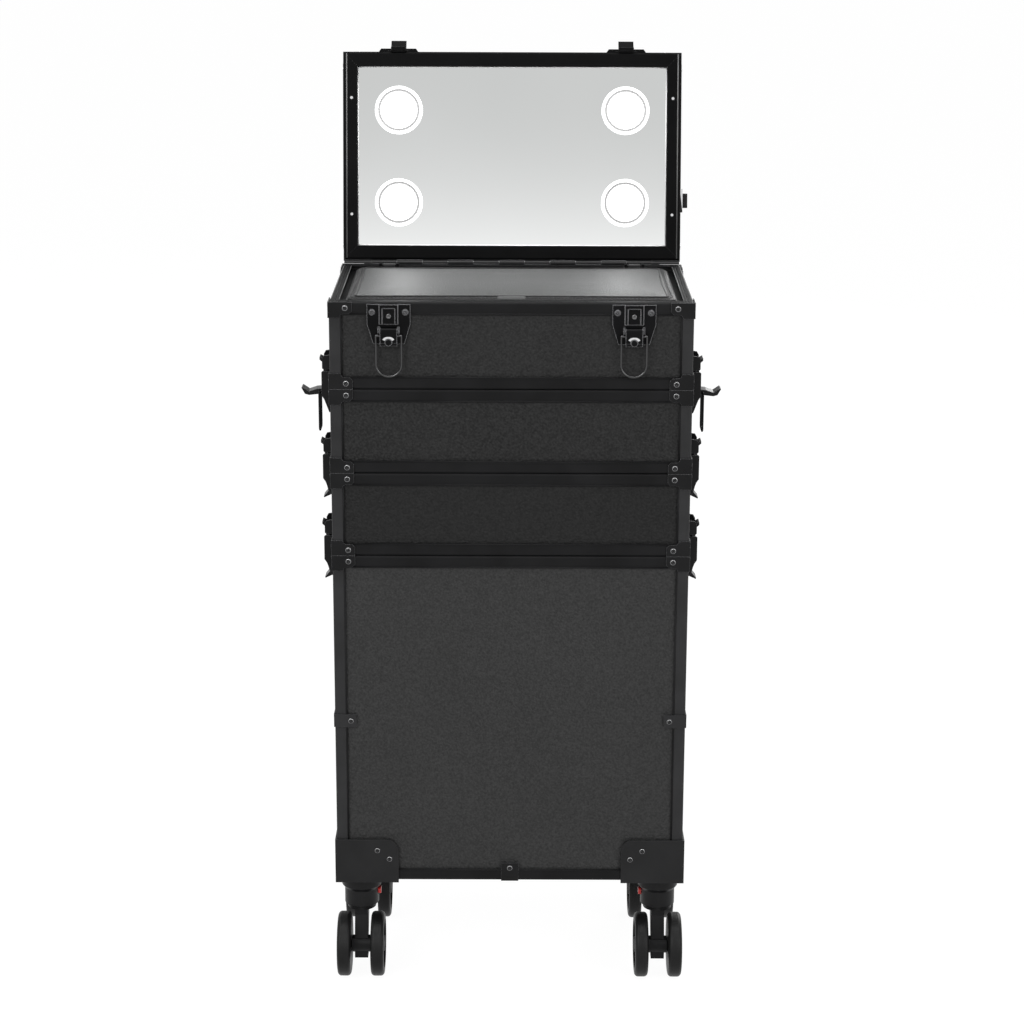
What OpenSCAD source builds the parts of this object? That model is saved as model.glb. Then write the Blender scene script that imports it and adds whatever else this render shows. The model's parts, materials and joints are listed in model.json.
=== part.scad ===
// Rolling makeup case: a deep bin on four spinner casters, two shallow trays and
// a vanity case with a padded cover and a lighted mirror lid, held together by draw latches.
// Origin on the floor under the middle of the stack, front towards -Y, +Z up, millimetres.

/* [Stack] */
// Width of every section over its edge angles
case_w = 360; // [320:1:420]
// Depth of every section over its edge angles
case_d = 220; // [200:1:260]
// Height of the deep bin at the bottom
bin_h = 354; // [260:1:420]
// Height of each shallow tray
tray_h = 86; // [80:1:120]
// Height of the vanity case below its lid
vanity_h = 88; // [80:1:130]
// Thickness of the lid
lid_t = 36; // [32:1:50]
// Angle from closed at which the open lid stands
lid_open = 100; // [92:1:110]

/* [Boards and edge angles] */
// Thickness of the covered boards
board_t = 5; // [3:0.5:7]
// Width of an edge angle on each face
edge_w = 12; // [9:0.5:14]
// Wall of an edge angle
edge_t = 1.6; // [1:0.1:2]
// Radius of the long outer edge of an angle
edge_r = 2.5; // [1:0.1:3]
// Width of the open rim of a section, seen from above
rim_w = 10; // [8:0.5:11]
// Width of the lid's rail around the mirror
lid_rail_w = 15; // [12:0.5:20]
// Butt gap between boards and between angles
joint_gap = 0.2; // [0.1:0.05:0.4]

/* [Corner fittings] */
// Length of a corner brace along the edge
brace_l = 24; // [18:1:34]
// Height of a corner brace
brace_h = 16; // [13:0.5:20]
// Sheet thickness of braces and clips
brace_t = 1.2; // [0.8:0.1:1.6]
// Length of the moulded guard at each bottom corner
guard_l = 64; // [45:1:80]
// Height of the moulded guard
guard_h = 46; // [36:1:60]
// Wall of the moulded guard
guard_t = 2; // [1.5:0.1:3]
// Corner radius of the moulded guard
guard_r = 12; // [6:1:16]
// Head diameter of a rivet
rivet_d = 5.6; // [4:0.1:7]
// Height of a rivet head
rivet_h = 1.2; // [0.6:0.1:1.6]

/* [Side latches] */
// Distance of a side latch behind the front face
side_latch_y = 55; // [45:1:90]
// Crank from the lever pivot to the bail pivot
crank = 8; // [7.5:0.1:9]
// Length of a side bail from its pivot to its bar
bail_l = 40; // [36:0.5:42]
// Diameter of the bail wire
wire_d = 2.2; // [1.8:0.1:2.4]
// Width of a side lever
lever_w = 16; // [14:0.5:17]
// Height of the lever pivot below the joint it draws together
pivot_drop = 12; // [11:0.5:14]
// Distance of the lever pivot from the side face
pivot_out = 6; // [5.8:0.1:7]
// Angle at which the unlatched lever stands out at rest
lever_rest = 85; // [60:1:90]

/* [Front latches] */
// Distance of a front latch in from the side face
front_latch_in = 59; // [45:1:90]
// Height of a front latch plate
front_plate_h = 40; // [38:0.5:46]
// Width of a front latch plate
front_plate_w = 43; // [38:0.5:50]
// Length of a front bail from its pivot to the bottom of its loop
front_bail_l = 41; // [36:0.5:44]
// Spacing of the legs of a front bail
front_bail_w = 25.2; // [25:0.1:29]

/* [Casters] */
// Height of the bin above the floor
caster_h = 115; // [108:1:125]
// Wheel diameter
wheel_d = 68; // [60:1:70]
// Width of one wheel of a pair
wheel_w = 14; // [12:0.5:16]
// Distance of the axle from the swivel axis
caster_trail = 17; // [12:0.5:20]
// Distance of a caster's axis in from the side face
caster_in_x = 23; // [22:1:60]
// Distance of a caster's axis in from the front and back faces
caster_in_y = 36; // [30:1:50]
// Diameter of a caster socket
socket_d = 36; // [32:1:38]
// Diameter of the swivel spindle
spindle_d = 11; // [9:0.5:13]
// Diameter of the axle
axle_d = 8; // [6:0.5:9]
// Radial running clearance of spindles, axles and pins
run_gap = 0.05; // [0.03:0.01:0.1]

/* [Cover and mirror] */
// Rise of the padded cover's crown above the rim
crown_h = 5; // [2:0.5:5.5]
// Depth of the mirror behind the lid's rail face
mirror_rec = 7.5; // [7:0.5:10]
// Thickness of the mirror glass
mirror_t = 3; // [2:0.5:4]
// Diameter of a lamp
lamp_d = 51; // [40:1:60]
// Distance of a lamp in from the side of the lid
lamp_in_x = 59; // [48:1:90]
// Distance of a lamp in from the front and back of the lid
lamp_in_y = 61; // [48:1:75]

/* [Hidden] */
$fn = 48;
half_w = case_w / 2;
half_d = case_d / 2;
bin_z = caster_h;
tray1_z = bin_z + bin_h;
tray2_z = tray1_z + tray_h;
vanity_z = tray2_z + tray_h;
rim_z = vanity_z + vanity_h;
wire_r = wire_d / 2;
fit_gap = 0.3;
front_latch_x = half_w - front_latch_in;
caster_x = half_w - caster_in_x;
caster_y = half_d - caster_in_y;
lamp_x = half_w - lamp_in_x;
lamp_y = half_d - lamp_in_y;
lid_gap = fit_gap;
lid_screw_k = 0.7;
lid_screw_in = 9;
lid_screw_y = 0.56 * half_d;

// Colours of the finishes
board_c = [0.2, 0.2, 0.21];
edge_c = [0.12, 0.12, 0.125];
fitting_c = [0.1, 0.1, 0.105];
chrome_c = [0.75, 0.75, 0.77];
rubber_c = [0.06, 0.06, 0.06];
pad_c = [0.42, 0.43, 0.43];
red_c = [0.75, 0.08, 0.06];

// Lid hinge
knuckle_r = 3.5;
hinge_pin_r = 1.75;
hinge_y = half_d + knuckle_r + fit_gap;
hinge_l = case_w - 60;
knuckle_n = 11;
knuckle_l = hinge_l / knuckle_n;
hinge_leaf = 18;

// Cover
cover_gap = lid_rail_w + 0.5;
cover_pin_clear = 4;
cover_back = lid_rail_w + 2 * cover_pin_clear;
cover_axis_y = half_d - lid_rail_w - cover_pin_clear;
cover_axis_z = rim_z + 1;
cover_board_z = rim_z - 6;
cover_board_t = 3;
cover_knuckle_r = 2.8;
cover_pin_r = 1.2;
cover_hinge_x = half_w - 50;
cover_w = case_w - 2 * cover_gap;
cover_d = case_d - cover_gap - cover_back;
cover_mid_y = (cover_gap - cover_back) / 2;
pad_flange_h = 3.6;
pad_flange_w = 9;
pad_corner_r = 14;

// Side latch, as outward distance from the side face and height above the joint
side_y = -half_d + side_latch_y;
bail_half = lever_w / 2 + 3.6;
crank_z = -pivot_drop - crank;
seat_z = crank_z + bail_l;
seat_out = pivot_out;
pivot_r = 1.5;
ear_t = 1.5;
ear_gap = 0.4;

// Front latch, as outward distance from the front face and height above the rim
front_pivot_z = -28;
front_pivot_out = 5;
front_crank = 5;
front_lever_w = 17;
front_top = -2;

// One edge angle in section: the corner at the origin, one leg along each axis
module angle_section(leg_x, leg_y, groove = false) {
    difference() {
        square([leg_x, leg_y]);
        translate([edge_t, edge_t]) square([leg_x, leg_y]);
        difference() {
            translate([-1, -1]) square(edge_r + 1);
            translate([edge_r, edge_r]) circle(edge_r);
        }
        if (groove) {
            translate([leg_x / 2, -1]) square([edge_t, 1 + edge_t / 2]);
        }
    }
}

// A mitred ring of four angles at the height z, with the upright legs towards up
module angle_ring(z, leg, up, groove = false) {
    translate([0, 0, z]) mirror([0, 0, up > 0 ? 0 : 1]) {
        for (side = [0, 1]) {
            mirror([0, side, 0]) intersection() {
                translate([0, -half_d, 0]) rotate([90, 0, 90])
                    linear_extrude(case_w, center = true) angle_section(leg, edge_w, groove);
                mitre(half_w, half_d, leg);
            }
            mirror([side, 0, 0]) intersection() {
                translate([-half_w, 0, 0]) rotate([90, 0, 0])
                    linear_extrude(case_d, center = true) angle_section(leg, edge_w, groove);
                rotate([0, 0, -90]) mitre(half_d, half_w, leg);
            }
        }
    }
}

// The plan of one mitred length, half a butt gap short at each end
module mitre(half_len, half_depth, leg) {
    end = half_len - joint_gap / 2;
    linear_extrude(edge_w) polygon([
        [-end, -half_depth],
        [end, -half_depth],
        [end - leg, -half_depth + leg],
        [-end + leg, -half_depth + leg]
    ]);
}

// Four upright corner angles between two rings
module angle_posts(z0, z1) {
    low = z0 + edge_w + joint_gap;
    for (sx = [0, 1], sy = [0, 1]) {
        mirror([sx, 0, 0]) mirror([0, sy, 0]) translate([-half_w, -half_d, low])
            linear_extrude(z1 - edge_w - joint_gap - low) angle_section(edge_w, edge_w);
    }
}

// The edge angles of one section: bottom ring, corner posts and open rim
module section_edges(z0, z1, rim, groove = false) {
    color(edge_c) {
        angle_ring(z0, edge_w, 1);
        angle_ring(z1, rim, -1, groove);
        angle_posts(z0, z1);
    }
}

// The five covered boards of one section, seated inside its edge angles
module section_boards(z0, z1) {
    wall_x = half_w - edge_t;
    wall_y = half_d - edge_t;
    low = z0 + edge_t;
    tall = z1 - z0 - 2 * edge_t;
    inner_x = wall_x - board_t - joint_gap;
    inner_y = wall_y - board_t - joint_gap;
    color(board_c) {
        for (side = [0, 1]) {
            mirror([0, side, 0]) translate([-wall_x, -wall_y, low]) cube([2 * wall_x, board_t, tall]);
            mirror([side, 0, 0]) translate([-wall_x, -inner_y, low]) cube([board_t, 2 * inner_y, tall]);
        }
        translate([-inner_x, -inner_y, low]) cube([2 * inner_x, 2 * inner_y, board_t]);
    }
}

// A domed ring rivet that points along +Z
module rivet() {
    color(chrome_c) rotate_extrude() {
        difference() {
            square([rivet_d / 2, rivet_h]);
            translate([rivet_d / 2, rivet_h]) circle(rivet_h * 0.6);
            translate([0, rivet_h * 0.5]) square([rivet_d / 6, rivet_h]);
        }
    }
}

// One flat wing of a corner brace, its corner at the origin, with a stepped inner end
module brace_wing(long, tall) {
    step = tall - edge_w;
    linear_extrude(brace_t) difference() {
        square([long, tall]);
        translate([long, tall]) rotate(45) square(step * 2.4, center = true);
        translate([edge_w + step, tall]) circle(step);
        translate([edge_w + step, edge_w]) square([long, tall]);
    }
}

// A two-winged brace at the front left corner of a section, upright towards up
module corner_brace(z, up) {
    translate([-half_w, -half_d, z]) mirror([0, 0, up > 0 ? 0 : 1]) {
        color(fitting_c) {
            translate([-brace_t, 0, 0]) rotate([90, 0, 0]) brace_wing(brace_l, brace_h);
            rotate([90, 0, -90]) mirror([1, 0, 0]) brace_wing(brace_l, brace_h);
        }
        translate([brace_h, -brace_t, edge_w / 2]) rotate([90, 0, 0]) rivet();
        translate([-brace_t, brace_h, edge_w / 2]) rotate([0, -90, 0]) rivet();
    }
}

// Braces on all four corners of one ring
module ring_braces(z, up) {
    for (sx = [0, 1], sy = [0, 1]) {
        mirror([sx, 0, 0]) mirror([0, sy, 0]) corner_brace(z, up);
    }
}

module bin_boards() {
    section_boards(bin_z, tray1_z);
}

module bin_edges() {
    section_edges(bin_z, tray1_z, rim_w);
}

module lower_tray_boards() {
    section_boards(tray1_z, tray2_z);
}

module lower_tray_edges() {
    section_edges(tray1_z, tray2_z, rim_w);
}

module upper_tray_boards() {
    section_boards(tray2_z, vanity_z);
}

module upper_tray_edges() {
    section_edges(tray2_z, vanity_z, rim_w);
}

module vanity_boards() {
    section_boards(vanity_z, rim_z);
}

module vanity_edges() {
    section_edges(vanity_z, rim_z, rim_w, true);
}

module lower_tray_fittings() {
    ring_braces(tray1_z, 1);
    ring_braces(tray2_z, -1);
}

module upper_tray_fittings() {
    ring_braces(tray2_z, 1);
    ring_braces(vanity_z, -1);
}

module vanity_fittings() {
    ring_braces(vanity_z, 1);
    ring_braces(rim_z, -1);
}

// One face of a moulded guard, its corner at the origin, the free corner rounded
module guard_face(long, tall) {
    linear_extrude(guard_t) difference() {
        square([long, tall]);
        difference() {
            translate([long - guard_r, tall - guard_r]) square(guard_r + 1);
            translate([long - guard_r, tall - guard_r]) circle(guard_r);
        }
    }
}

// Moulded guards that wrap the four bottom corners of the bin
module bin_corner_guards() {
    tall = guard_h + guard_t;
    color(fitting_c) for (sx = [0, 1], sy = [0, 1]) {
        mirror([sx, 0, 0]) mirror([0, sy, 0])
            translate([-half_w - guard_t, -half_d - guard_t, bin_z - guard_t]) {
            translate([0, guard_t, 0]) rotate([90, 0, 0]) guard_face(guard_l + guard_t, tall);
            translate([guard_t, 0, 0]) rotate([90, 0, -90]) mirror([1, 0, 0])
                guard_face(guard_l + guard_t, tall);
            linear_extrude(guard_t) difference() {
                square(guard_l);
                translate([half_w + guard_t - caster_x, half_d + guard_t - caster_y])
                    circle(d = socket_d + 7);
            }
        }
    }
}

// A small clip over an edge angle, lying flat on the face with its rivet
module edge_clip(long, tall) {
    color(fitting_c) translate([-long / 2, 0, 0]) cube([long, tall, brace_t]);
    translate([0, tall - rivet_d, brace_t]) rivet();
}

// Braces at the top, clips half way up and under each face, and the rivets of the guards
module bin_fittings() {
    clip_l = 14;
    clip_w = 22;
    mid_z = bin_z + bin_h / 2;
    guard_rivets = [[-12, -22], [-21.5, -9.5]];
    ring_braces(tray1_z, -1);
    for (sx = [0, 1], sy = [0, 1]) {
        mirror([sx, 0, 0]) mirror([0, sy, 0]) {
            translate([-half_w, -half_d, mid_z]) rotate([90, 0, 0]) rotate(-90) edge_clip(clip_l, clip_w);
            translate([-half_w, -half_d, mid_z]) rotate([0, -90, 0]) edge_clip(clip_l, clip_w);
            for (spot = guard_rivets) {
                translate([-half_w + guard_l + spot[1], -half_d - guard_t, bin_z + guard_h + spot[0]])
                    rotate([90, 0, 0]) rivet();
            }
        }
    }
    for (sy = [0, 1]) {
        mirror([0, sy, 0]) translate([0, -half_d, bin_z]) rotate([90, 0, 0]) edge_clip(18, 20);
    }
}

// Places its children on a side face at a joint: x outward, y across the latch, z up
module on_side(side, joint_z) {
    mirror([side < 0 ? 1 : 0, 0, 0]) translate([half_w, side_y, joint_z]) children();
}

// Extrudes an outline drawn as outward and height across the width of a latch
module across(width) {
    rotate([90, 0, 0]) linear_extrude(width, center = true) children();
}

// The fixed half of a side latch: sheet plate, block and an upward spur that holds the bail bar
module keeper(seat_x, seat_h, wide) {
    spur_rise = 4;
    spur_out = 7.5;
    spur_t = 2.6;
    bar_drop = wire_r + fit_gap + 0.15;
    top = seat_h - bar_drop;
    color(fitting_c) {
        translate([0, -wide * 0.7, 1]) cube([brace_t, wide * 1.4, seat_h + 6]);
        across(wide) polygon([
            [brace_t, top - 13],
            [seat_x, top - 13],
            [seat_x + 1, top - 4],
            [seat_x + spur_out, top - spur_t + spur_rise],
            [seat_x + spur_out, top + spur_rise],
            [seat_x, top],
            [brace_t, top]
        ]);
    }
    for (sy = [-1, 1]) {
        translate([brace_t, sy * wide * 0.54, seat_h + 3]) rotate([0, 90, 0]) rivet();
    }
}

// The plate of a side latch with the two ears that carry the lever pin
module latch_base() {
    plate_w = 27;
    plate_h = 40;
    ear_in = lever_w / 2 + ear_gap;
    ear_r = 3.4;
    difference() {
        color(fitting_c) union() {
            translate([0, -plate_w / 2, -plate_h - 2]) cube([brace_t, plate_w, plate_h]);
            for (sy = [0, 1]) {
                mirror([0, sy, 0]) translate([0, ear_in + ear_t / 2, 0]) across(ear_t) {
                    translate([pivot_out, -pivot_drop]) circle(ear_r);
                    translate([brace_t / 2, -pivot_drop - ear_r])
                        square([pivot_out - brace_t / 2, 2 * ear_r]);
                }
            }
            translate([brace_t / 2, -ear_in - ear_t, -pivot_drop + ear_r + ear_gap])
                cube([pivot_out, 2 * (ear_in + ear_t), 4]);
        }
        translate([pivot_out, 0, -pivot_drop]) rotate([90, 0, 0])
            cylinder(r = pivot_r, h = plate_w, center = true);
    }
    color(chrome_c) translate([pivot_out, 0, -pivot_drop]) rotate([90, 0, 0])
        cylinder(r = pivot_r, h = 2 * (ear_in + ear_t), center = true);
    for (sy = [-1, 1]) {
        translate([brace_t, sy * plate_w * 0.37, -plate_h + 3]) rotate([0, 90, 0]) rivet();
    }
}

// Turns its children with a lever that stands at an angle from closed
module lever_turn(angle) {
    translate([pivot_out, 0, -pivot_drop]) rotate([0, -angle, 0]) translate([-pivot_out, 0, pivot_drop])
        children();
}

// The finger lever of a side latch, closed: hub, cheeks round the bail pivot and a flared tab
module side_lever(angle) {
    hub_r = 3;
    tab_z = crank_z - 18;
    lever_turn(angle) difference() {
        color(fitting_c) union() {
            translate([pivot_out, 0, -pivot_drop]) rotate([90, 0, 0])
                cylinder(r = hub_r, h = lever_w, center = true);
            across(lever_w) polygon([
                [pivot_out - hub_r + 0.4, -pivot_drop + 1],
                [pivot_out + hub_r - 0.4, -pivot_drop + 1],
                [pivot_out + 2.6, crank_z - 3],
                [pivot_out + 0.6, tab_z + 7],
                [pivot_out + 5.5, tab_z + 1],
                [pivot_out + 5, tab_z],
                [pivot_out - 1.5, tab_z + 3],
                [pivot_out - hub_r, tab_z + 7]
            ]);
        }
        translate([pivot_out, 0, -pivot_drop]) rotate([90, 0, 0])
            cylinder(r = pivot_r + run_gap, h = lever_w + 2, center = true);
        translate([pivot_out, 0, crank_z]) rotate([90, 0, 0])
            cylinder(r = wire_r + run_gap, h = lever_w + 2, center = true);
    }
}

// A wire loop: two legs from inward-turned pivot ends to a cross bar, hanging along -Z from the origin
module side_bail() {
    bend = 4;
    leg = bail_l - bend;
    bar_half = bail_half - bend;
    color(fitting_c) {
        rotate([90, 0, 0]) cylinder(r = wire_r, h = 2 * bail_half, center = true);
        for (sy = [0, 1]) {
            mirror([0, sy, 0]) {
                translate([0, bail_half, 0]) sphere(wire_r);
                translate([0, bail_half, -leg]) cylinder(r = wire_r, h = leg);
                translate([0, bar_half, -leg]) rotate([0, 90, 0]) rotate_extrude(angle = 90)
                    translate([bend, 0]) circle(wire_r);
            }
        }
        translate([0, 0, -bail_l]) rotate([90, 0, 0]) cylinder(r = wire_r, h = 2 * bar_half, center = true);
    }
}

// A bail that stands up from a closed lever to the keeper of the section above
module closed_bail() {
    translate([pivot_out, 0, crank_z]) mirror([0, 0, 1]) side_bail();
}

// A bail that hangs from an open lever
module hanging_bail() {
    out = pivot_out + crank * sin(lever_rest);
    drop = -pivot_drop - crank * cos(lever_rest);
    translate([out, 0, drop]) side_bail();
}

module stack_latch_keepers() {
    for (side = [-1, 1], joint = [tray1_z, tray2_z]) {
        on_side(side, joint) keeper(seat_out, seat_z, lever_w);
    }
}

module vanity_latch_keepers() {
    for (side = [-1, 1]) {
        on_side(side, vanity_z) keeper(seat_out, seat_z, lever_w);
    }
}

module stack_latch_bases() {
    for (side = [-1, 1], joint = [tray1_z, tray2_z, vanity_z]) {
        on_side(side, joint) latch_base();
    }
}

// A plate that carries the raised wall of a front latch, in front view
module front_plate_outline() {
    polygon([
        [-front_plate_w / 2, 0],
        [front_plate_w / 2, 0],
        [front_plate_w / 2, -front_plate_h * 0.5],
        [front_plate_w / 2 - 6, -front_plate_h],
        [-front_plate_w / 2 + 6, -front_plate_h],
        [-front_plate_w / 2, -front_plate_h * 0.5]
    ]);
}

// Places its children on the front face at the rim: x across, y up, z outward
module on_front(side) {
    translate([side * front_latch_x, -half_d, rim_z]) rotate([90, 0, 0]) children();
}

// The plate of a front latch: channel, ears, pivot pin and rivets
module front_latch_plate() {
    plate_t = 1.4;
    channel_w = 18.5;
    channel_h = 20;
    ear_in = front_lever_w / 2 + ear_gap;
    ear_r = 3.2;
    color(fitting_c) translate([0, front_top, 0]) {
        difference() {
            union() {
                linear_extrude(plate_t) front_plate_outline();
                translate([0, 0, -edge_t]) linear_extrude(edge_t + 0.01) intersection() {
                    front_plate_outline();
                    translate([-front_plate_w, -front_plate_h])
                        square([2 * front_plate_w, front_plate_h - edge_w]);
                }
                translate([-channel_w / 2, -channel_h, 0]) cube([channel_w, channel_h, plate_t + 2.4]);
            }
            translate([-channel_w / 2 + 3, -channel_h - 1, plate_t + 1])
                cube([channel_w - 6, channel_h - 3, plate_t + 2.4]);
        }
    }
    for (sx = [0, 1]) {
        mirror([sx, 0, 0]) color(fitting_c) translate([ear_in + ear_t / 2, 0, 0]) rotate([0, 90, 0])
            linear_extrude(ear_t, center = true) {
                translate([-front_pivot_out, front_pivot_z]) circle(ear_r);
                translate([-front_pivot_out, front_pivot_z - ear_r])
                    square([front_pivot_out - plate_t / 2, 2 * ear_r]);
            }
        mirror([sx, 0, 0]) translate([front_plate_w / 2 - 5, front_top - 8, plate_t]) rivet();
    }
    color(chrome_c) translate([0, front_pivot_z, front_pivot_out]) rotate([0, 90, 0])
        cylinder(r = pivot_r, h = 2 * (ear_in + ear_t), center = true);
}

module front_latch_plates() {
    for (side = [-1, 1]) {
        on_front(side) front_latch_plate();
    }
}

// The locking lever of a front latch with its key cylinder
module front_lever(side) {
    hub_r = 3;
    foot_z = front_pivot_z - 15;
    key_z = front_pivot_z - 11;
    on_front(side) {
        difference() {
            color(fitting_c) rotate([0, 90, 0]) linear_extrude(front_lever_w, center = true) {
                translate([-front_pivot_out, front_pivot_z]) circle(hub_r);
                polygon([
                    [-front_pivot_out + hub_r, front_pivot_z],
                    [-front_pivot_out - hub_r, front_pivot_z],
                    [-front_pivot_out - hub_r, foot_z + 3],
                    [-front_pivot_out - 1.5, foot_z],
                    [-front_pivot_out + hub_r, foot_z]
                ]);
            }
            translate([0, front_pivot_z, front_pivot_out]) rotate([0, 90, 0])
                cylinder(r = pivot_r + run_gap, h = front_lever_w + 2, center = true);
            translate([0, front_pivot_z - front_crank, front_pivot_out]) rotate([0, 90, 0])
                cylinder(r = wire_r + run_gap, h = front_lever_w + 2, center = true);
        }
        color(chrome_c) translate([0, key_z, front_pivot_out + hub_r - 0.5]) cylinder(d = 7, h = 2);
    }
}

module front_lever_left() {
    front_lever(-1);
}

module front_lever_right() {
    front_lever(1);
}

// The hanging wire loop of a front latch, with a round bottom
module front_bail(side) {
    half = front_bail_w / 2;
    leg = front_bail_l - half;
    color(fitting_c) on_front(side) translate([0, front_pivot_z - front_crank, front_pivot_out]) {
        rotate([0, 90, 0]) cylinder(r = wire_r, h = front_bail_w, center = true);
        for (sx = [-1, 1]) {
            translate([sx * half, 0, 0]) sphere(wire_r);
            translate([sx * half, -leg, 0]) rotate([-90, 0, 0]) cylinder(r = wire_r, h = leg);
        }
        translate([0, -leg, 0]) rotate([0, 0, 180]) rotate_extrude(angle = 180)
            translate([half, 0]) circle(wire_r);
    }
}

module front_bail_left() {
    front_bail(-1);
}

module front_bail_right() {
    front_bail(1);
}

// Places its children at one caster, its swivel axis on the origin, at floor height
module at_caster(cx, cy) {
    translate([cx * caster_x, cy * caster_y, 0]) mirror([cx > 0 ? 1 : 0, 0, 0]) children();
}

caster_ends = [[-1, -1], [1, -1], [-1, 1], [1, 1]];
wheel_clear = 7;
socket_z = wheel_d + wheel_clear;
collar_h = (caster_h - socket_z) * 0.45;
flare_h = 4;
head_z = socket_z - 4;
button_w = 8;
button_h = 7;
button_out = 2.4;
button_z = caster_h - collar_h - flare_h - button_h / 2 - 1;
button_in = 12;
button_play = 2.2;
hub_gap = 0.6;
fork_t = 14;
fork_hub_w = 20;

// A fixed caster socket: flared collar, round body, spindle bore and a slot for the release tab
module caster_socket() {
    collar_r = socket_d / 2 + 3;
    color(fitting_c) difference() {
        rotate_extrude() polygon([
            [0, socket_z],
            [socket_d / 2 - 1, socket_z],
            [socket_d / 2, socket_z + 1],
            [socket_d / 2, caster_h - collar_h - flare_h],
            [collar_r, caster_h - collar_h],
            [collar_r, caster_h],
            [0, caster_h]
        ]);
        translate([0, 0, socket_z - 1]) cylinder(d = spindle_d + 2 * run_gap, h = caster_h - socket_z - 5);
        translate([button_in - button_play, -button_w / 2 - fit_gap, button_z - button_h / 2 - fit_gap])
            cube([socket_d, button_w + 2 * fit_gap, button_h + 2 * fit_gap]);
    }
}

module caster_sockets() {
    for (end = caster_ends) {
        at_caster(end[0], end[1]) caster_socket();
    }
}

// The red release tab that slides into the inboard side of a socket
module release_tab(cx, cy) {
    reach = socket_d / 2 + button_out - button_in;
    color(red_c) at_caster(cx, cy) translate([button_in, 0, button_z]) rotate([0, 90, 0])
        linear_extrude(reach) difference() {
            square([button_h, button_w], center = true);
            for (sx = [-1, 1], sy = [-1, 1]) {
                translate([sx * button_h / 2, sy * button_w / 2]) rotate(45) square(2, center = true);
            }
        }
}

module release_front_left() {
    release_tab(-1, -1);
}

module release_front_right() {
    release_tab(1, -1);
}

module release_back_left() {
    release_tab(-1, 1);
}

module release_back_right() {
    release_tab(1, 1);
}

// The swivelling fork of a caster: spindle, round head and one curved web down to the axle
module caster_fork(cx, cy) {
    axle_y = -caster_trail;
    axle_z = wheel_d / 2;
    hub_r = axle_d / 2 + 5;
    toe_w = 12;
    toe_drop = 14;
    head_r = 15;
    color(fitting_c) at_caster(cx, cy) difference() {
        union() {
            translate([0, 0, head_z]) cylinder(r = head_r, h = socket_z - fit_gap - head_z);
            translate([0, 0, head_z + 1]) cylinder(d = spindle_d, h = caster_h - head_z - 13);
            rotate([90, 0, 90]) linear_extrude(fork_t, center = true) difference() {
                polygon([
                    [head_r - 2, head_z + 1],
                    [head_r - 3, head_z - 6],
                    [axle_y + hub_r - 2, axle_z],
                    [axle_y + toe_w / 2, axle_z - toe_drop],
                    [axle_y - toe_w / 2, axle_z - toe_drop],
                    [axle_y - hub_r + 2, axle_z],
                    [-head_r + 2, head_z - 6],
                    [-head_r + 2, head_z + 1]
                ]);
                translate([head_r + 8, axle_z + 8]) circle(16);
            }
            translate([0, axle_y, axle_z]) rotate([0, 90, 0])
                cylinder(r = hub_r, h = fork_hub_w, center = true);
        }
        translate([0, axle_y, axle_z]) rotate([0, 90, 0])
            cylinder(d = axle_d + 2 * run_gap, h = fork_hub_w + 2, center = true);
    }
}

module fork_front_left() {
    caster_fork(-1, -1);
}

module fork_front_right() {
    caster_fork(1, -1);
}

module fork_back_left() {
    caster_fork(-1, 1);
}

module fork_back_right() {
    caster_fork(1, 1);
}

// One wheel in section: rounded tread, dished outer face and a hub
module wheel_section() {
    tread_r = wheel_d / 2;
    round_r = 4;
    rim_r = tread_r - 8;
    dish = 4;
    difference() {
        square([tread_r, wheel_w]);
        for (side = [0, 1]) {
            translate([tread_r - round_r, side * wheel_w]) mirror([0, side]) difference() {
                square(round_r + 1);
                translate([0, round_r]) circle(round_r);
            }
        }
        translate([axle_d, wheel_w - dish]) square([rim_r - axle_d, dish + 1]);
    }
}

// Two wheels on one axle with spokes in their dished faces
module caster_wheels(cx, cy) {
    axle_half = fork_hub_w / 2 + hub_gap;
    spokes = 5;
    color(rubber_c) at_caster(cx, cy) translate([0, -caster_trail, wheel_d / 2]) rotate([0, 90, 0]) {
        cylinder(d = axle_d, h = 2 * axle_half + 2, center = true);
        for (side = [0, 1]) {
            mirror([0, 0, side]) translate([0, 0, axle_half]) {
                rotate_extrude() wheel_section();
                for (turn = [0 : 360 / spokes : 359]) {
                    rotate(turn) translate([axle_d - 1, -2.5, wheel_w - 4.5])
                        cube([wheel_d / 2 - axle_d - 6, 5, 3]);
                }
            }
        }
    }
}

module wheels_front_left() {
    caster_wheels(-1, -1);
}

module wheels_front_right() {
    caster_wheels(1, -1);
}

module wheels_back_left() {
    caster_wheels(-1, 1);
}

module wheels_back_right() {
    caster_wheels(1, 1);
}

module lever_top_left() {
    on_side(-1, vanity_z) side_lever(lever_rest);
}

module lever_top_right() {
    on_side(1, vanity_z) side_lever(lever_rest);
}

module lever_middle_left() {
    on_side(-1, tray2_z) side_lever(0);
}

module lever_middle_right() {
    on_side(1, tray2_z) side_lever(0);
}

module lever_bottom_left() {
    on_side(-1, tray1_z) side_lever(0);
}

module lever_bottom_right() {
    on_side(1, tray1_z) side_lever(0);
}

module bail_top_left() {
    on_side(-1, vanity_z) hanging_bail();
}

module bail_top_right() {
    on_side(1, vanity_z) hanging_bail();
}

module bail_middle_left() {
    on_side(-1, tray2_z) closed_bail();
}

module bail_middle_right() {
    on_side(1, tray2_z) closed_bail();
}

module bail_bottom_left() {
    on_side(-1, tray1_z) closed_bail();
}

module bail_bottom_right() {
    on_side(1, tray1_z) closed_bail();
}

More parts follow.
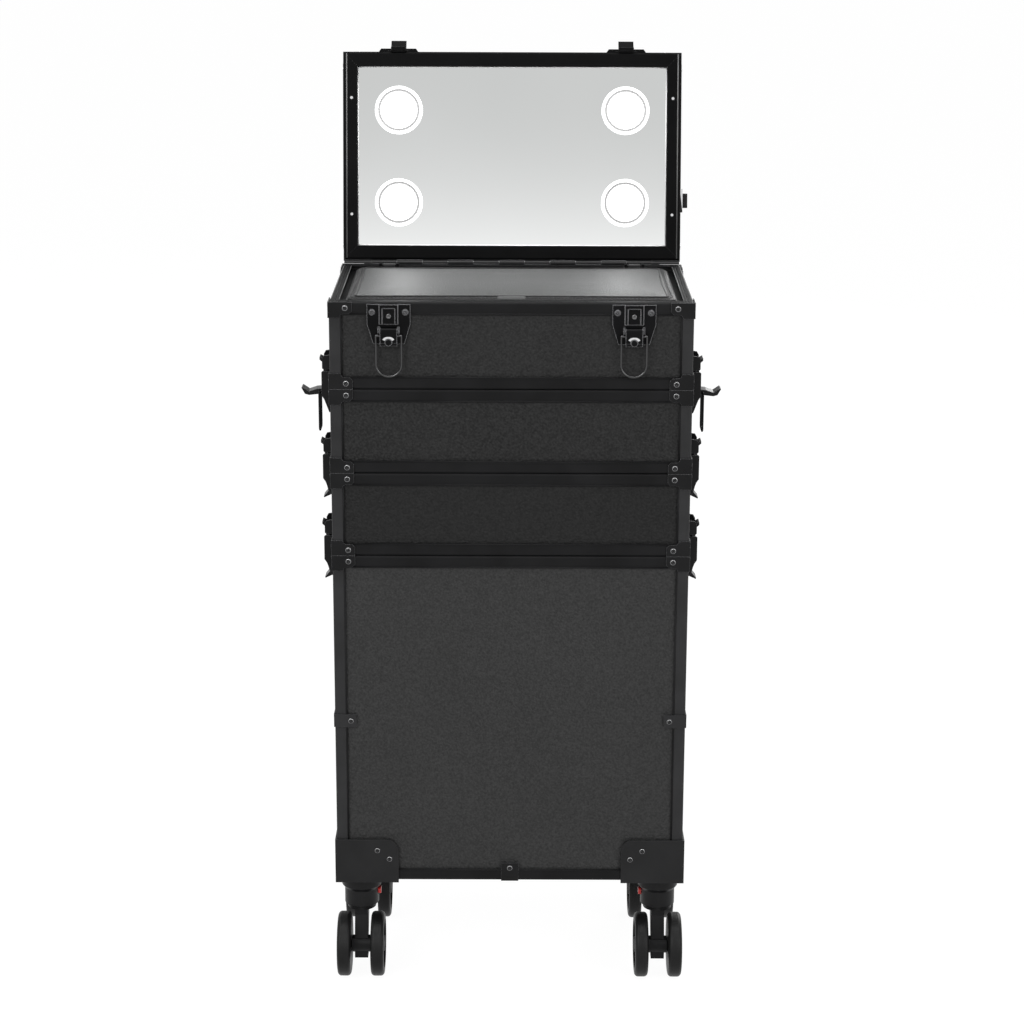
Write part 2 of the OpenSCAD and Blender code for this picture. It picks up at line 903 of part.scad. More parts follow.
// Four strips inside the vanity walls that the cover rests on, and the posts of its hinge pin
module cover_ledge() {
    strip = 8;
    wall_x = half_w - edge_t - board_t - joint_gap;
    wall_y = half_d - edge_t - board_t - joint_gap;
    low = cover_board_z - strip;
    post_t = 3;
    post_x = 9;
    post_y = cover_axis_y - cover_knuckle_r;
    post_low = cover_board_z - 0.01;
    color(edge_c) {
        for (side = [0, 1]) {
            mirror([0, side, 0]) translate([-wall_x, -wall_y, low]) cube([2 * wall_x, 2 * strip, strip]);
            mirror([side, 0, 0]) translate([-wall_x, -wall_y + 2 * strip + joint_gap, low])
                cube([2 * strip, 2 * (wall_y - 2 * strip - joint_gap), strip]);
        }
        for (sx = [-1, 1], px = [-1, 1]) {
            translate([sx * cover_hinge_x + px * post_x - post_t / 2, post_y, post_low])
                cube([post_t, 2 * cover_knuckle_r, cover_axis_z - cover_board_z + cover_knuckle_r]);
        }
    }
    color(chrome_c) for (sx = [-1, 1]) {
        translate([sx * cover_hinge_x, cover_axis_y, cover_axis_z]) rotate([0, 90, 0])
            cylinder(r = cover_pin_r, h = 2 * post_x + post_t + 1, center = true);
    }
}

// The stiff board of the cover with its two hinge knuckles
module cover_board() {
    tab_w = 12;
    strap_t = 2;
    strap_y = cover_axis_y - cover_knuckle_r;
    color(edge_c) difference() {
        union() {
            translate([-cover_w / 2, cover_mid_y - cover_d / 2, cover_board_z])
                cube([cover_w, cover_d, cover_board_t]);
            for (sx = [-1, 1]) {
                translate([sx * cover_hinge_x, 0, 0]) {
                    translate([0, cover_axis_y, cover_axis_z]) rotate([0, 90, 0])
                        cylinder(r = cover_knuckle_r, h = tab_w, center = true);
                    translate([-tab_w / 2, strap_y, cover_board_z])
                        cube([tab_w, strap_t, cover_axis_z - cover_board_z]);
                    translate([-tab_w / 2, half_d - cover_back - 1, cover_board_z])
                        cube([tab_w, strap_y + strap_t - half_d + cover_back, cover_board_t]);
                }
            }
        }
        for (sx = [-1, 1]) {
            translate([sx * cover_hinge_x, cover_axis_y, cover_axis_z]) rotate([0, 90, 0])
                cylinder(r = cover_pin_r + run_gap, h = tab_w + 2, center = true);
        }
    }
}

// Outline of the pad at an inset, its four sides drawn in a little between the corners
arc_steps = 5;
side_steps = 9;
draw_in = 1.6;
function pad_corner(k, inset) =
    let (r = max(pad_corner_r - inset, 2), hx = cover_w / 2 - inset - r, hy = cover_d / 2 - inset - r,
         sx = (k == 0 || k == 3) ? 1 : -1, sy = k < 2 ? 1 : -1)
    [for (i = [0 : arc_steps]) let (a = 90 * k + 90 * i / arc_steps)
        [sx * hx + r * cos(a), sy * hy + r * sin(a)]];
function pad_side(k, inset) =
    let (from = pad_corner(k, inset)[arc_steps], to = pad_corner((k + 1) % 4, inset)[0],
         out = [cos(90 * k + 90), sin(90 * k + 90)])
    [for (i = [1 : side_steps]) let (f = i / (side_steps + 1))
        from + (to - from) * f - out * draw_in * sin(180 * f)];
function pad_ring(inset) = [for (k = [0 : 3]) each concat(pad_corner(k, inset), pad_side(k, inset))];

// Height of the pad's top over its seat at a distance from its edge: flange, roll and crown
pad_low = cover_board_z + cover_board_t;
pad_rise = rim_z + crown_h - pad_low - pad_flange_h;
crown_in = cover_d / 2 - 8;
crown_reach = crown_in - pad_flange_w;
function pad_height(inset) =
    let (f = min(max(inset - pad_flange_w, 0) / crown_reach, 1))
    pad_flange_h + pad_rise * (1 - pow(1 - f, 3.2));

// The padded cover: a flat underside, a sewn flange and a crowned top
module cover_pad() {
    seam_in = pad_flange_w + 1;
    crown_steps = [0.05, 0.12, 0.22, 0.38, 0.6, 0.84, 1];
    insets = concat(
        [0, pad_flange_w / 3, pad_flange_w, seam_in],
        [for (f = crown_steps) seam_in + f * (crown_in - seam_in)]
    );
    rings = [for (d = insets) [for (p = pad_ring(d)) [p[0], p[1], pad_height(d)]]];
    under = [for (p = pad_ring(0)) [p[0], p[1], 0]];
    all = concat([under], rings);
    n = len(under);
    quads = [for (j = [0 : len(all) - 2], i = [0 : n - 1])
        let (a = j * n + i, b = j * n + (i + 1) % n) [a, b, b + n, a + n]];
    last = (len(all) - 1) * n;
    color(pad_c) translate([0, cover_mid_y, pad_low]) polyhedron(
        concat([for (ring = all) each ring]),
        concat(
            [for (q = quads) each [[q[0], q[2], q[1]], [q[0], q[3], q[2]]]],
            [for (i = [1 : n - 2]) [0, i, i + 1]],
            [for (i = [1 : n - 2]) [last, last + i + 1, last + i]]
        )
    );
}

// The pull tab sewn on the front flange of the cover
module cover_tab() {
    tab_w = 28;
    tab_l = 9;
    tab_t = 1;
    corner = 3;
    tab_y = cover_mid_y - cover_d / 2 + draw_in + 0.4;
    color(pad_c) translate([0, tab_y, pad_low + pad_flange_h]) linear_extrude(tab_t) {
        translate([-tab_w / 2, 0]) square([tab_w, tab_l - corner]);
        translate([-tab_w / 2 + corner, 0]) square([tab_w - 2 * corner, tab_l - joint_gap]);
    }
}

// Turns its children from the closed lid, drawn over the rim at height 0, to the open lid
module as_open() {
    translate([0, hinge_y, rim_z]) rotate([-lid_open, 0, 0]) translate([0, -hinge_y, 0]) children();
}

module on_lid() {
    as_open() translate([0, 0, lid_gap]) children();
}

// Places its children at the four screws of the lid's rail
module at_lid_screws() {
    for (sx = [-1, 1], sy = [-1, 1]) {
        translate([sx * (half_w - lid_screw_in), sy * lid_screw_y, 0]) children();
    }
}

module lid_boards() {
    on_lid() translate([0, 0, lid_t]) mirror([0, 0, 1]) section_boards(0, lid_t);
}

module lid_edges() {
    on_lid() difference() {
        translate([0, 0, lid_t]) mirror([0, 0, 1]) section_edges(0, lid_t, lid_rail_w);
        at_lid_screws() translate([0, 0, -edge_t]) cylinder(d = lid_screw_k * rivet_d, h = 3 * edge_t);
    }
}

// Rear braces of the lid, its four rail screws and the base of the lamp switch
switch_y = 46;
switch_z = lid_t / 2;
module lid_fittings() {
    base_l = 25;
    base_w = 14;
    base_t = 3;
    on_lid() {
        ring_braces(lid_t, -1);
        at_lid_screws() translate([0, 0, lid_screw_k * rivet_h]) rotate([180, 0, 0])
            scale(lid_screw_k) rivet();
        for (sx = [-1, 1]) {
            translate([sx * handle_x, 0, 0]) handle_bracket();
        }
        color(fitting_c) translate([half_w, switch_y, switch_z]) rotate([90, 0, 0]) difference() {
            linear_extrude(base_l, center = true) polygon([
                [0, -base_w / 2],
                [base_t, -base_w / 2 + 2],
                [base_t, base_w / 2 - 2],
                [0, base_w / 2]
            ]);
            translate([-1, -4.5, -8]) cube([base_t + 2, 9, 16]);
        }
    }
}

// The push button that switches the lamps, on the right edge of the lid
module lamp_switch() {
    on_lid() color(fitting_c) translate([half_w + 2.2, switch_y, switch_z]) rotate([0, 90, 0])
        linear_extrude(6) difference() {
            square([8.4, 15.4], center = true);
            for (sx = [-1, 1], sy = [-1, 1]) {
                translate([sx * 4.2, sy * 7.7]) rotate(45) square(2, center = true);
            }
        }
}

// The mirror glass with its backing board behind it
module mirror_glass() {
    edge = edge_t + board_t + joint_gap;
    backing_t = 3.5;
    on_lid() translate([-half_w + edge, -half_d + edge, mirror_rec]) {
        color([0.85, 0.87, 0.88]) cube([case_w - 2 * edge, case_d - 2 * edge, mirror_t + backing_t]);
    }
}

// Four round lamps on the mirror, each with a raised ring near its edge
module lamps() {
    disc_t = 1;
    ring_r = lamp_d * 0.42;
    on_lid() for (sx = [-1, 1], sy = [-1, 1]) {
        translate([sx * lamp_x, sy * lamp_y, mirror_rec]) mirror([0, 0, 1]) color("white") rotate_extrude() {
            square([lamp_d / 2, disc_t]);
            translate([ring_r - 1, 0]) square([1.2, disc_t + 0.5]);
        }
    }
}

// Keepers on the front edge of the lid for the front bails, each on a broad base with sloped ends
module lid_keepers() {
    front_seat = front_pivot_z - front_crank + front_bail_l + 5;
    base_l = 42;
    base_t = 3.4;
    base_low = 2;
    base_tall = 13;
    slope = 2.5;
    on_lid() for (side = [-1, 1]) {
        translate([side * front_latch_x, -half_d, 0]) rotate([0, 0, -90]) {
            keeper(5, front_seat, lever_w);
            color(fitting_c) translate([0, 0, base_low]) linear_extrude(base_tall) polygon([
                [0, -base_l / 2],
                [base_t, -base_l / 2 + slope],
                [base_t, base_l / 2 - slope],
                [0, base_l / 2]
            ]);
        }
    }
}

// Half of a lid hinge: a leaf on the back face and its share of the knuckles
module hinge_half(starts, length) {
    leaf_y = half_d - hinge_y;
    difference() {
        union() {
            for (start = starts) {
                translate([start, 0, 0]) rotate([0, 90, 0]) cylinder(r = knuckle_r, h = length);
                translate([start, leaf_y, -knuckle_r - 2]) cube([length, brace_t, knuckle_r + 2]);
            }
            translate([-hinge_l / 2, leaf_y, -hinge_leaf - knuckle_r])
                cube([hinge_l, brace_t, hinge_leaf - 0.5]);
        }
        rotate([0, 90, 0]) cylinder(r = hinge_pin_r + run_gap, h = hinge_l + 2, center = true);
    }
}

// Where every second knuckle of the lid hinge starts
function knuckle_starts(first) =
    [for (k = [first : 2 : knuckle_n - 1]) -hinge_l / 2 + k * knuckle_l + fit_gap / 2];

// Half-round strip that carries on from an end knuckle to the corner, just above the rim
module hinge_end() {
    strip_r = knuckle_r - 0.2;
    start = hinge_l / 2 - 2;
    translate([start, 0, 0]) rotate([90, 0, 90]) linear_extrude(half_w - 1 - start) difference() {
        circle(strip_r);
        translate([-2 * strip_r, -2 * strip_r]) square([4 * strip_r, 2 * strip_r + fit_gap]);
    }
}

// Fixed leaf of the long lid hinge, with its end strips and its pin
module hinge_case_leaves() {
    translate([0, hinge_y, rim_z]) {
        color(fitting_c) difference() {
            union() {
                hinge_half(knuckle_starts(0), knuckle_l - fit_gap);
                hinge_end();
                mirror([1, 0, 0]) hinge_end();
            }
            rotate([0, 90, 0]) cylinder(r = hinge_pin_r + run_gap, h = hinge_l + 2, center = true);
        }
        color(chrome_c) rotate([0, 90, 0]) cylinder(r = hinge_pin_r, h = hinge_l, center = true);
    }
}

// Moving leaf of the long lid hinge
module lid_hinge_leaves() {
    as_open() color(fitting_c) translate([0, hinge_y, 0]) mirror([0, 0, 1])
        hinge_half(knuckle_starts(1), knuckle_l - fit_gap);
}

// The folding carry handle on the outside of the lid, lying flat
handle_pivot_z = lid_t + 6;
handle_x = 52;
handle_arm_w = 10;
handle_hub_r = 4.5;
module carry_handle() {
    reach = 34;
    grip_r = 5.5;
    arm_t = 8;
    on_lid() color(fitting_c) translate([0, 0, handle_pivot_z]) difference() {
        union() {
            for (sx = [-1, 1]) {
                translate([sx * handle_x, 0, 0]) rotate([0, 90, 0])
                    cylinder(r = handle_hub_r, h = handle_arm_w, center = true);
                translate([sx * handle_x - handle_arm_w / 2, 0, -arm_t / 2])
                    cube([handle_arm_w, reach, arm_t]);
            }
            translate([0, reach, 0]) rotate([0, 90, 0])
                cylinder(r = grip_r, h = 2 * handle_x + handle_arm_w, center = true);
        }
        rotate([0, 90, 0]) cylinder(r = pivot_r + run_gap, h = 3 * handle_x, center = true);
    }
}

// One bracket of the carry handle: a plate on the lid board, two ears and a pin
module handle_bracket() {
    ear = 2.5;
    ear_x = handle_arm_w / 2 + ear_gap;
    plate_l = 26;
    plate_w = 2 * (ear_x + ear + 3);
    plate_low = lid_t - edge_t;
    color(fitting_c) {
        translate([-plate_w / 2, -plate_l / 2, plate_low]) cube([plate_w, plate_l, brace_t]);
        for (sx = [0, 1]) {
            mirror([sx, 0, 0]) translate([ear_x, 0, 0]) {
                translate([0, 0, handle_pivot_z]) rotate([0, 90, 0]) cylinder(r = handle_hub_r, h = ear);
                translate([0, -handle_hub_r, plate_low])
                    cube([ear, 2 * handle_hub_r, handle_pivot_z - plate_low]);
            }
        }
        translate([0, 0, handle_pivot_z]) rotate([0, 90, 0])
            cylinder(r = pivot_r, h = 2 * (ear_x + ear), center = true);
    }
}

bin_boards();
bin_edges();
bin_corner_guards();
bin_fittings();
lower_tray_boards();
lower_tray_edges();
lower_tray_fittings();
upper_tray_boards();
upper_tray_edges();
upper_tray_fittings();
stack_latch_keepers();
stack_latch_bases();
lever_top_left();
lever_top_right();
lever_middle_left();
lever_middle_right();
lever_bottom_left();
lever_bottom_right();
bail_top_left();
bail_top_right();
bail_middle_left();
bail_middle_right();
bail_bottom_left();
bail_bottom_right();
caster_sockets();
release_front_left();
release_front_right();
release_back_left();
release_back_right();
fork_front_left();
fork_front_right();
fork_back_left();
fork_back_right();
wheels_front_left();
wheels_front_right();
wheels_back_left();
wheels_back_right();
vanity_boards();
vanity_edges();
vanity_fittings();
vanity_latch_keepers();
cover_ledge();
front_latch_plates();
front_lever_left();
front_lever_right();
front_bail_left();
front_bail_right();
hinge_case_leaves();
cover_board();
cover_pad();
cover_tab();
lid_boards();
lid_edges();
lid_fittings();
lid_hinge_leaves();
mirror_glass();
lamps();
lid_keepers();
lamp_switch();
carry_handle();
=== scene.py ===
import json
import math

import bmesh
import bpy
from mathutils import Matrix, Vector
from mathutils.bvhtree import BVHTree


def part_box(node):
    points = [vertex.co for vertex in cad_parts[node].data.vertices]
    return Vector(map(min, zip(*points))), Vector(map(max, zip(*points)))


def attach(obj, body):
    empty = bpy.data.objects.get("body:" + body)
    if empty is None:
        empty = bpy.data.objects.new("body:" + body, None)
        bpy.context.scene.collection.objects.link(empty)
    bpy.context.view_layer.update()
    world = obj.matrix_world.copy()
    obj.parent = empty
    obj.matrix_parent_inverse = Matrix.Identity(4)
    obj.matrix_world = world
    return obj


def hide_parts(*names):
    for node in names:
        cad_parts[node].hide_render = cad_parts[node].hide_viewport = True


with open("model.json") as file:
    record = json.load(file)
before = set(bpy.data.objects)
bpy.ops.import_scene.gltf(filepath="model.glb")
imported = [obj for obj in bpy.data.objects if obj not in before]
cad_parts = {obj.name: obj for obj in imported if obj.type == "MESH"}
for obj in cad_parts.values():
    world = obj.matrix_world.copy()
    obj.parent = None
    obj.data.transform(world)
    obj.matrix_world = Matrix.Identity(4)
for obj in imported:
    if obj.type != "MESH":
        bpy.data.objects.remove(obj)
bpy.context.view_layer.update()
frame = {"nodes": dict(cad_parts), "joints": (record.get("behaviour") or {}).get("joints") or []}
nodes = frame["nodes"]

# Covered boards: thin ply panels of the bin, the trays, the vanity case and the lid.
# Each is wrapped in black grained leatherette with a dull sheen, and slides into the edge angles.
# Each section takes the same leatherette at its own brightness, which is painted shade: darkest on the
# lower tray, then the upper tray, the vanity case, the lid and the bin.


def leatherette(name, deep, lifted, grain, rough, sheen, gloss):
    skin = bpy.data.materials.new(name)
    skin.use_nodes = True
    tree = skin.node_tree
    shader = tree.nodes["Principled BSDF"]
    shader.inputs["Sheen Weight"].default_value = sheen
    shader.inputs["Sheen Roughness"].default_value = 0.4
    shader.inputs["Specular IOR Level"].default_value = gloss
    place = tree.nodes.new("ShaderNodeTexCoord")
    pebbles = tree.nodes.new("ShaderNodeTexVoronoi")
    pebbles.feature = "SMOOTH_F1"
    pebbles.inputs["Scale"].default_value = grain
    pebbles.inputs["Smoothness"].default_value = 0.6
    creases = tree.nodes.new("ShaderNodeTexNoise")
    creases.inputs["Scale"].default_value = grain * 1.3
    creases.inputs["Detail"].default_value = 4
    handling = tree.nodes.new("ShaderNodeTexNoise")
    handling.inputs["Scale"].default_value = 9
    handling.inputs["Detail"].default_value = 3
    for texture in (pebbles, creases, handling):
        tree.links.new(place.outputs["Object"], texture.inputs["Vector"])
    height = tree.nodes.new("ShaderNodeMath")
    height.operation = "MULTIPLY_ADD"
    height.inputs[1].default_value = 0.6
    tree.links.new(pebbles.outputs["Distance"], height.inputs[0])
    tree.links.new(creases.outputs["Fac"], height.inputs[2])
    bump = tree.nodes.new("ShaderNodeBump")
    bump.inputs["Strength"].default_value = 1
    bump.inputs["Distance"].default_value = 0.0008
    tree.links.new(height.outputs[0], bump.inputs["Height"])
    tree.links.new(bump.outputs["Normal"], shader.inputs["Normal"])
    mottle = tree.nodes.new("ShaderNodeMath")
    mottle.operation = "MULTIPLY_ADD"
    mottle.inputs[1].default_value = 0.18
    tree.links.new(handling.outputs["Fac"], mottle.inputs[0])
    tree.links.new(creases.outputs["Fac"], mottle.inputs[2])
    tones = tree.nodes.new("ShaderNodeValToRGB")
    tones.color_ramp.elements[0].position = 0.37
    tones.color_ramp.elements[0].color = (*deep, 1)
    tones.color_ramp.elements[1].position = 0.81
    tones.color_ramp.elements[1].color = (*lifted, 1)
    tree.links.new(mottle.outputs[0], tones.inputs["Fac"])
    tree.links.new(tones.outputs["Color"], shader.inputs["Base Color"])
    dull = tree.nodes.new("ShaderNodeMapRange")
    dull.inputs["To Min"].default_value = rough - 0.05
    dull.inputs["To Max"].default_value = rough + 0.05
    tree.links.new(handling.outputs["Fac"], dull.inputs["Value"])
    tree.links.new(dull.outputs["Result"], shader.inputs["Roughness"])
    return skin


def finish_node(name, *finishes):
    node = nodes[name]
    node.data.materials.clear()
    for finish in finishes:
        node.data.materials.append(finish)
    return node


# The first number scales the leatherette's tones for a section, a painted shade. The second sets the
# strength of its grain.
board_painted_shades = (
    ("bin", 1.05, 1),
    ("lower_tray", 0.36, 1.6),
    ("upper_tray", 0.48, 2),
    ("vanity", 0.57, 1.5),
    ("lid", 0.8, 1.2),
)
middle_black, grain_contrast = 0.0215, 0.0085
for section, painted_shade, contrast in board_painted_shades:
    valley = painted_shade * (middle_black - grain_contrast * contrast)
    crown = painted_shade * (middle_black + grain_contrast * contrast)
    board_skin = leatherette(section + "_leatherette", (valley,) * 3, (crown,) * 3,
                             grain=400, rough=0.55, sheen=0.02, gloss=0.16)
    finish_node(section + "_boards", board_skin)

# Edge angles: extruded aluminium angles that frame every section, powder coated satin black.
# They are cut square, butted at the corners and hold the boards in their inner groove.


def worn_finish_with_painted_highlight(name, deep, lifted, rough, speck, round_edge, gloss, edge_highlight):
    coat = bpy.data.materials.new(name)
    coat.use_nodes = True
    tree = coat.node_tree
    shader = tree.nodes["Principled BSDF"]
    shader.inputs["Specular IOR Level"].default_value = gloss
    place = tree.nodes.new("ShaderNodeTexCoord")
    orange_peel = tree.nodes.new("ShaderNodeTexNoise")
    orange_peel.inputs["Scale"].default_value = speck
    orange_peel.inputs["Detail"].default_value = 2
    rubbed = tree.nodes.new("ShaderNodeTexNoise")
    rubbed.inputs["Scale"].default_value = 26
    rubbed.inputs["Detail"].default_value = 5
    for texture in (orange_peel, rubbed):
        tree.links.new(place.outputs["Object"], texture.inputs["Vector"])
    soft_edge = tree.nodes.new("ShaderNodeBevel")
    soft_edge.samples = 4
    soft_edge.inputs["Radius"].default_value = round_edge
    bump = tree.nodes.new("ShaderNodeBump")
    bump.inputs["Strength"].default_value = 0.18
    bump.inputs["Distance"].default_value = 0.0003
    tree.links.new(orange_peel.outputs["Fac"], bump.inputs["Height"])
    tree.links.new(soft_edge.outputs["Normal"], bump.inputs["Normal"])
    tree.links.new(bump.outputs["Normal"], shader.inputs["Normal"])
    tones = tree.nodes.new("ShaderNodeValToRGB")
    tones.color_ramp.elements[0].position = 0.35
    tones.color_ramp.elements[0].color = (*deep, 1)
    tones.color_ramp.elements[1].position = 0.75
    tones.color_ramp.elements[1].color = (*lifted, 1)
    tree.links.new(rubbed.outputs["Fac"], tones.inputs["Fac"])
    facing = tree.nodes.new("ShaderNodeNewGeometry")
    turned = tree.nodes.new("ShaderNodeVectorMath")
    turned.operation = "DOT_PRODUCT"
    tree.links.new(soft_edge.outputs["Normal"], turned.inputs[0])
    tree.links.new(facing.outputs["Normal"], turned.inputs[1])
    # Near every edge, where the rounded normal turns away from the face, the colour is mixed towards grey:
    # a painted highlight along the edges.
    highlight_mask = tree.nodes.new("ShaderNodeMapRange")
    highlight_mask.inputs["From Min"].default_value = 0.99
    highlight_mask.inputs["From Max"].default_value = 0.72
    highlight_mask.inputs["To Max"].default_value = edge_highlight
    tree.links.new(turned.outputs["Value"], highlight_mask.inputs["Value"])
    painted_highlight = tree.nodes.new("ShaderNodeMix")
    painted_highlight.data_type = "RGBA"
    painted_highlight.inputs["B"].default_value = (0.3, 0.3, 0.31, 1)
    tree.links.new(highlight_mask.outputs["Result"], painted_highlight.inputs["Factor"])
    tree.links.new(tones.outputs["Color"], painted_highlight.inputs["A"])
    tree.links.new(painted_highlight.outputs["Result"], shader.inputs["Base Color"])
    worn = tree.nodes.new("ShaderNodeMapRange")
    worn.inputs["To Min"].default_value = rough - 0.1
    worn.inputs["To Max"].default_value = rough + 0.1
    tree.links.new(rubbed.outputs["Fac"], worn.inputs["Value"])
    tree.links.new(worn.outputs["Result"], shader.inputs["Roughness"])
    return coat


edge_coat = worn_finish_with_painted_highlight("edge_powder_coat", (0.0045, 0.0045, 0.0047), (0.008, 0.008, 0.0085),
                        rough=0.46, speck=1500, round_edge=0.0007, gloss=0.1, edge_highlight=0.12)
post_coat = worn_finish_with_painted_highlight("post_powder_coat", (0.017, 0.017, 0.0175), (0.026, 0.026, 0.027),
                        rough=0.5, speck=1500, round_edge=0.0007, gloss=0.12, edge_highlight=0.1)
lid_coat = worn_finish_with_painted_highlight("lid_powder_coat", (0.0008, 0.0008, 0.0009), (0.002, 0.002, 0.0022),
                       rough=0.5, speck=1500, round_edge=0.0007, gloss=0.05, edge_highlight=0.12)
angle_width = 0.012
for section in ("bin", "lower_tray", "upper_tray", "vanity"):
    angles = finish_node(section + "_edges", edge_coat, post_coat, lid_coat)
    low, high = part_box(section + "_edges")
    for face in angles.data.polygons:
        at, out = angles.matrix_world @ face.center, face.normal
        across, reach = (at.x, high[0]) if abs(out.y) > 0.9 else (at.y, high[1])
        if (abs(out.z) < 0.3 and abs(across) > reach - angle_width
                and low[2] + angle_width < at.z < high[2] - angle_width):
            face.material_index = 1
        if section == "vanity" and out.z > 0.9:
            face.material_index = 2
finish_node("lid_edges", lid_coat)
finish_node("cover_ledge", lid_coat)

# Edge beads: the rounded lip that each angle turns over the board it holds, in the same coat.
# Grey beads run along the sides of the rim and of the lid, and two short seals close the rim's back.
lip_radius, rod_sides = 0.0009, 10


def bridge(mesh, one, two, smooth=True):
    faces = []
    for a in range(len(one)):
        b = (a + 1) % len(one)
        face = mesh.faces.new((one[a], one[b], two[b], two[a]))
        face.smooth = smooth
        faces.append(face)
    return faces


def new_piece(name, mesh, body, slot, *finishes):
    bmesh.ops.recalc_face_normals(mesh, faces=mesh.faces)
    data = bpy.data.meshes.new(name)
    mesh.to_mesh(data)
    mesh.free()
    for finish in finishes:
        data.materials.append(finish)
    piece = bpy.data.objects.new(name, data)
    bpy.context.scene.collection.objects.link(piece)
    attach(piece, body)
    return piece


def round_runs(name, runs, turn, body, radius, finish, slot):
    mesh = bmesh.new()
    for start, end in runs:
        start, end = Vector(start), Vector(end)
        along = (end - start).normalized()
        side = along.orthogonal().normalized() * radius
        spokes = [Matrix.Rotation(a * math.tau / rod_sides, 4, along) @ side for a in range(rod_sides)]
        rings = [[mesh.verts.new(turn @ (point + spoke)) for spoke in spokes] for point in (start, end)]
        bridge(mesh, *rings)
        for ring in rings:
            mesh.faces.new(ring)
    new_piece(name, mesh, body, slot, finish)


def lip_runs(low, high):
    runs = []
    foot, head = low[2] + angle_width, high[2] - angle_width
    for way in (-1, 1):
        x = way * (high[0] - low[0]) / 2
        y = way * (high[1] - low[1]) / 2
        for z in (foot, head):
            runs.append(((low[0] + angle_width, y, z), (high[0] - angle_width, y, z)))
            runs.append(((x, low[1] + angle_width, z), (x, high[1] - angle_width, z)))
        for end in (-1, 1):
            post_x = end * (high[0] - angle_width)
            post_y = end * (high[1] - angle_width)
            runs.append(((post_x, y, foot), (post_x, y, head)))
            runs.append(((x, post_y, foot), (x, post_y, head)))
    return runs


for section in ("bin", "lower_tray", "upper_tray", "vanity"):
    body = "vanity" if section == "vanity" else "bin_stack"
    round_runs(section + "_edge_lips", lip_runs(*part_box(section + "_edges")), Matrix.Identity(4), body,
               lip_radius, edge_coat, "black_edge")
half_w, half_d, rim_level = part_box("vanity_edges")[1]
lid_opening, lid_lift, lid_deep = 100, 0.0003, 0.036
hinge_at = Vector(next(j for j in frame["joints"] if j["name"] == "lid_hinge")["pos_m"])
lid_swing = (Matrix.Translation(hinge_at) @ Matrix.Rotation(math.radians(-lid_opening), 4, "X")
             @ Matrix.Translation((0, -hinge_at.y, 0)))
lid_runs = lip_runs((-half_w, -half_d, lid_lift), (half_w, half_d, lid_lift + lid_deep))
round_runs("lid_edge_lips", lid_runs, lid_swing, "lid", lip_radius, edge_coat, "black_edge")
bead_grey = worn_finish_with_painted_highlight("bead_satin_grey", (0.07, 0.07, 0.07), (0.11, 0.11, 0.11),
                        rough=0.36, speck=1500, round_edge=0.0003, gloss=0.3, edge_highlight=0)


def side_beads(inward, end_gap, level):
    x, y = half_w - inward, half_d - end_gap
    return [((s * x, -y, level), (s * x, y, level)) for s in (-1, 1)]


bead_sink, lid_bead_radius, rim_bead_radius = 0.0003, 0.0012, 0.00045
bead_level = rim_level - bead_sink
round_runs("lid_side_beads", side_beads(inward=0.0038, end_gap=0.002, level=0.0013),
           lid_swing, "lid", lid_bead_radius, bead_grey, "black_edge")
round_runs("rim_side_beads", side_beads(inward=0.0014, end_gap=0.014, level=bead_level)
           + side_beads(inward=0.0095, end_gap=0.014, level=bead_level),
           Matrix.Identity(4), "vanity", rim_bead_radius, bead_grey, "black_edge")
seal_from, seal_to, seal_radius = 0.149, 0.158, 0.0006
seal_y = half_d + seal_radius
round_runs("rim_back_seals", [((s * seal_from, seal_y, bead_level), (s * seal_to, seal_y, bead_level))
                              for s in (-1, 1)],
           Matrix.Identity(4), "vanity", seal_radius, edge_coat, "black_edge")

# Corner braces, clips and rivets: pressed sheet steel, black plated, over every corner.
# Each is held by a chromed ring rivet, which shows as a bright dot with a dark middle.
brace_thick, ring_proud, rivet_size, clip_reach = 0.0012, 0.00006, 0.0064, 0.04


def chromed(name, tint, rough):
    plate = bpy.data.materials.new(name)
    plate.use_nodes = True
    tree = plate.node_tree
    shader = tree.nodes["Principled BSDF"]
    shader.inputs["Metallic"].default_value = 1
    place = tree.nodes.new("ShaderNodeTexCoord")
    scuffs = tree.nodes.new("ShaderNodeTexNoise")
    scuffs.inputs["Scale"].default_value = 900
    scuffs.inputs["Detail"].default_value = 3
    tree.links.new(place.outputs["Object"], scuffs.inputs["Vector"])
    tones = tree.nodes.new("ShaderNodeValToRGB")
    tones.color_ramp.elements[0].color = (tint * 0.82, tint * 0.82, tint * 0.84, 1)
    tones.color_ramp.elements[1].color = (tint, tint, tint, 1)
    tree.links.new(scuffs.outputs["Fac"], tones.inputs["Fac"])
    tree.links.new(tones.outputs["Color"], shader.inputs["Base Color"])
    dull = tree.nodes.new("ShaderNodeMapRange")
    dull.inputs["To Min"].default_value = rough * 0.6
    dull.inputs["To Max"].default_value = rough * 1.5
    tree.links.new(scuffs.outputs["Fac"], dull.inputs["Value"])
    tree.links.new(dull.outputs["Result"], shader.inputs["Roughness"])
    return plate


def bright_small_solids(name, plain, bright, largest):
    node = finish_node(name, plain, bright)
    weld = 1e-6
    mesh = bmesh.new()
    mesh.from_mesh(node.data)
    bmesh.ops.remove_doubles(mesh, verts=mesh.verts, dist=weld)
    spots = []
    left = set(mesh.verts)
    while left:
        group, rim = set(), [left.pop()]
        while rim:
            point = rim.pop()
            group.add(point)
            for link in point.link_edges:
                other = link.other_vert(point)
                if other in left:
                    left.discard(other)
                    rim.append(other)
        low = [min(p.co[k] for p in group) for k in range(3)]
        high = [max(p.co[k] for p in group) for k in range(3)]
        if max(h - l for h, l in zip(high, low)) < largest:
            spots.append((low, high))
    mesh.free()
    for face in node.data.polygons:
        for low, high in spots:
            if all(l - weld <= c <= h + weld for l, c, h in zip(low, face.center, high)):
                face.material_index = 0 if max(abs(n) for n in face.normal) > 0.99 else 1


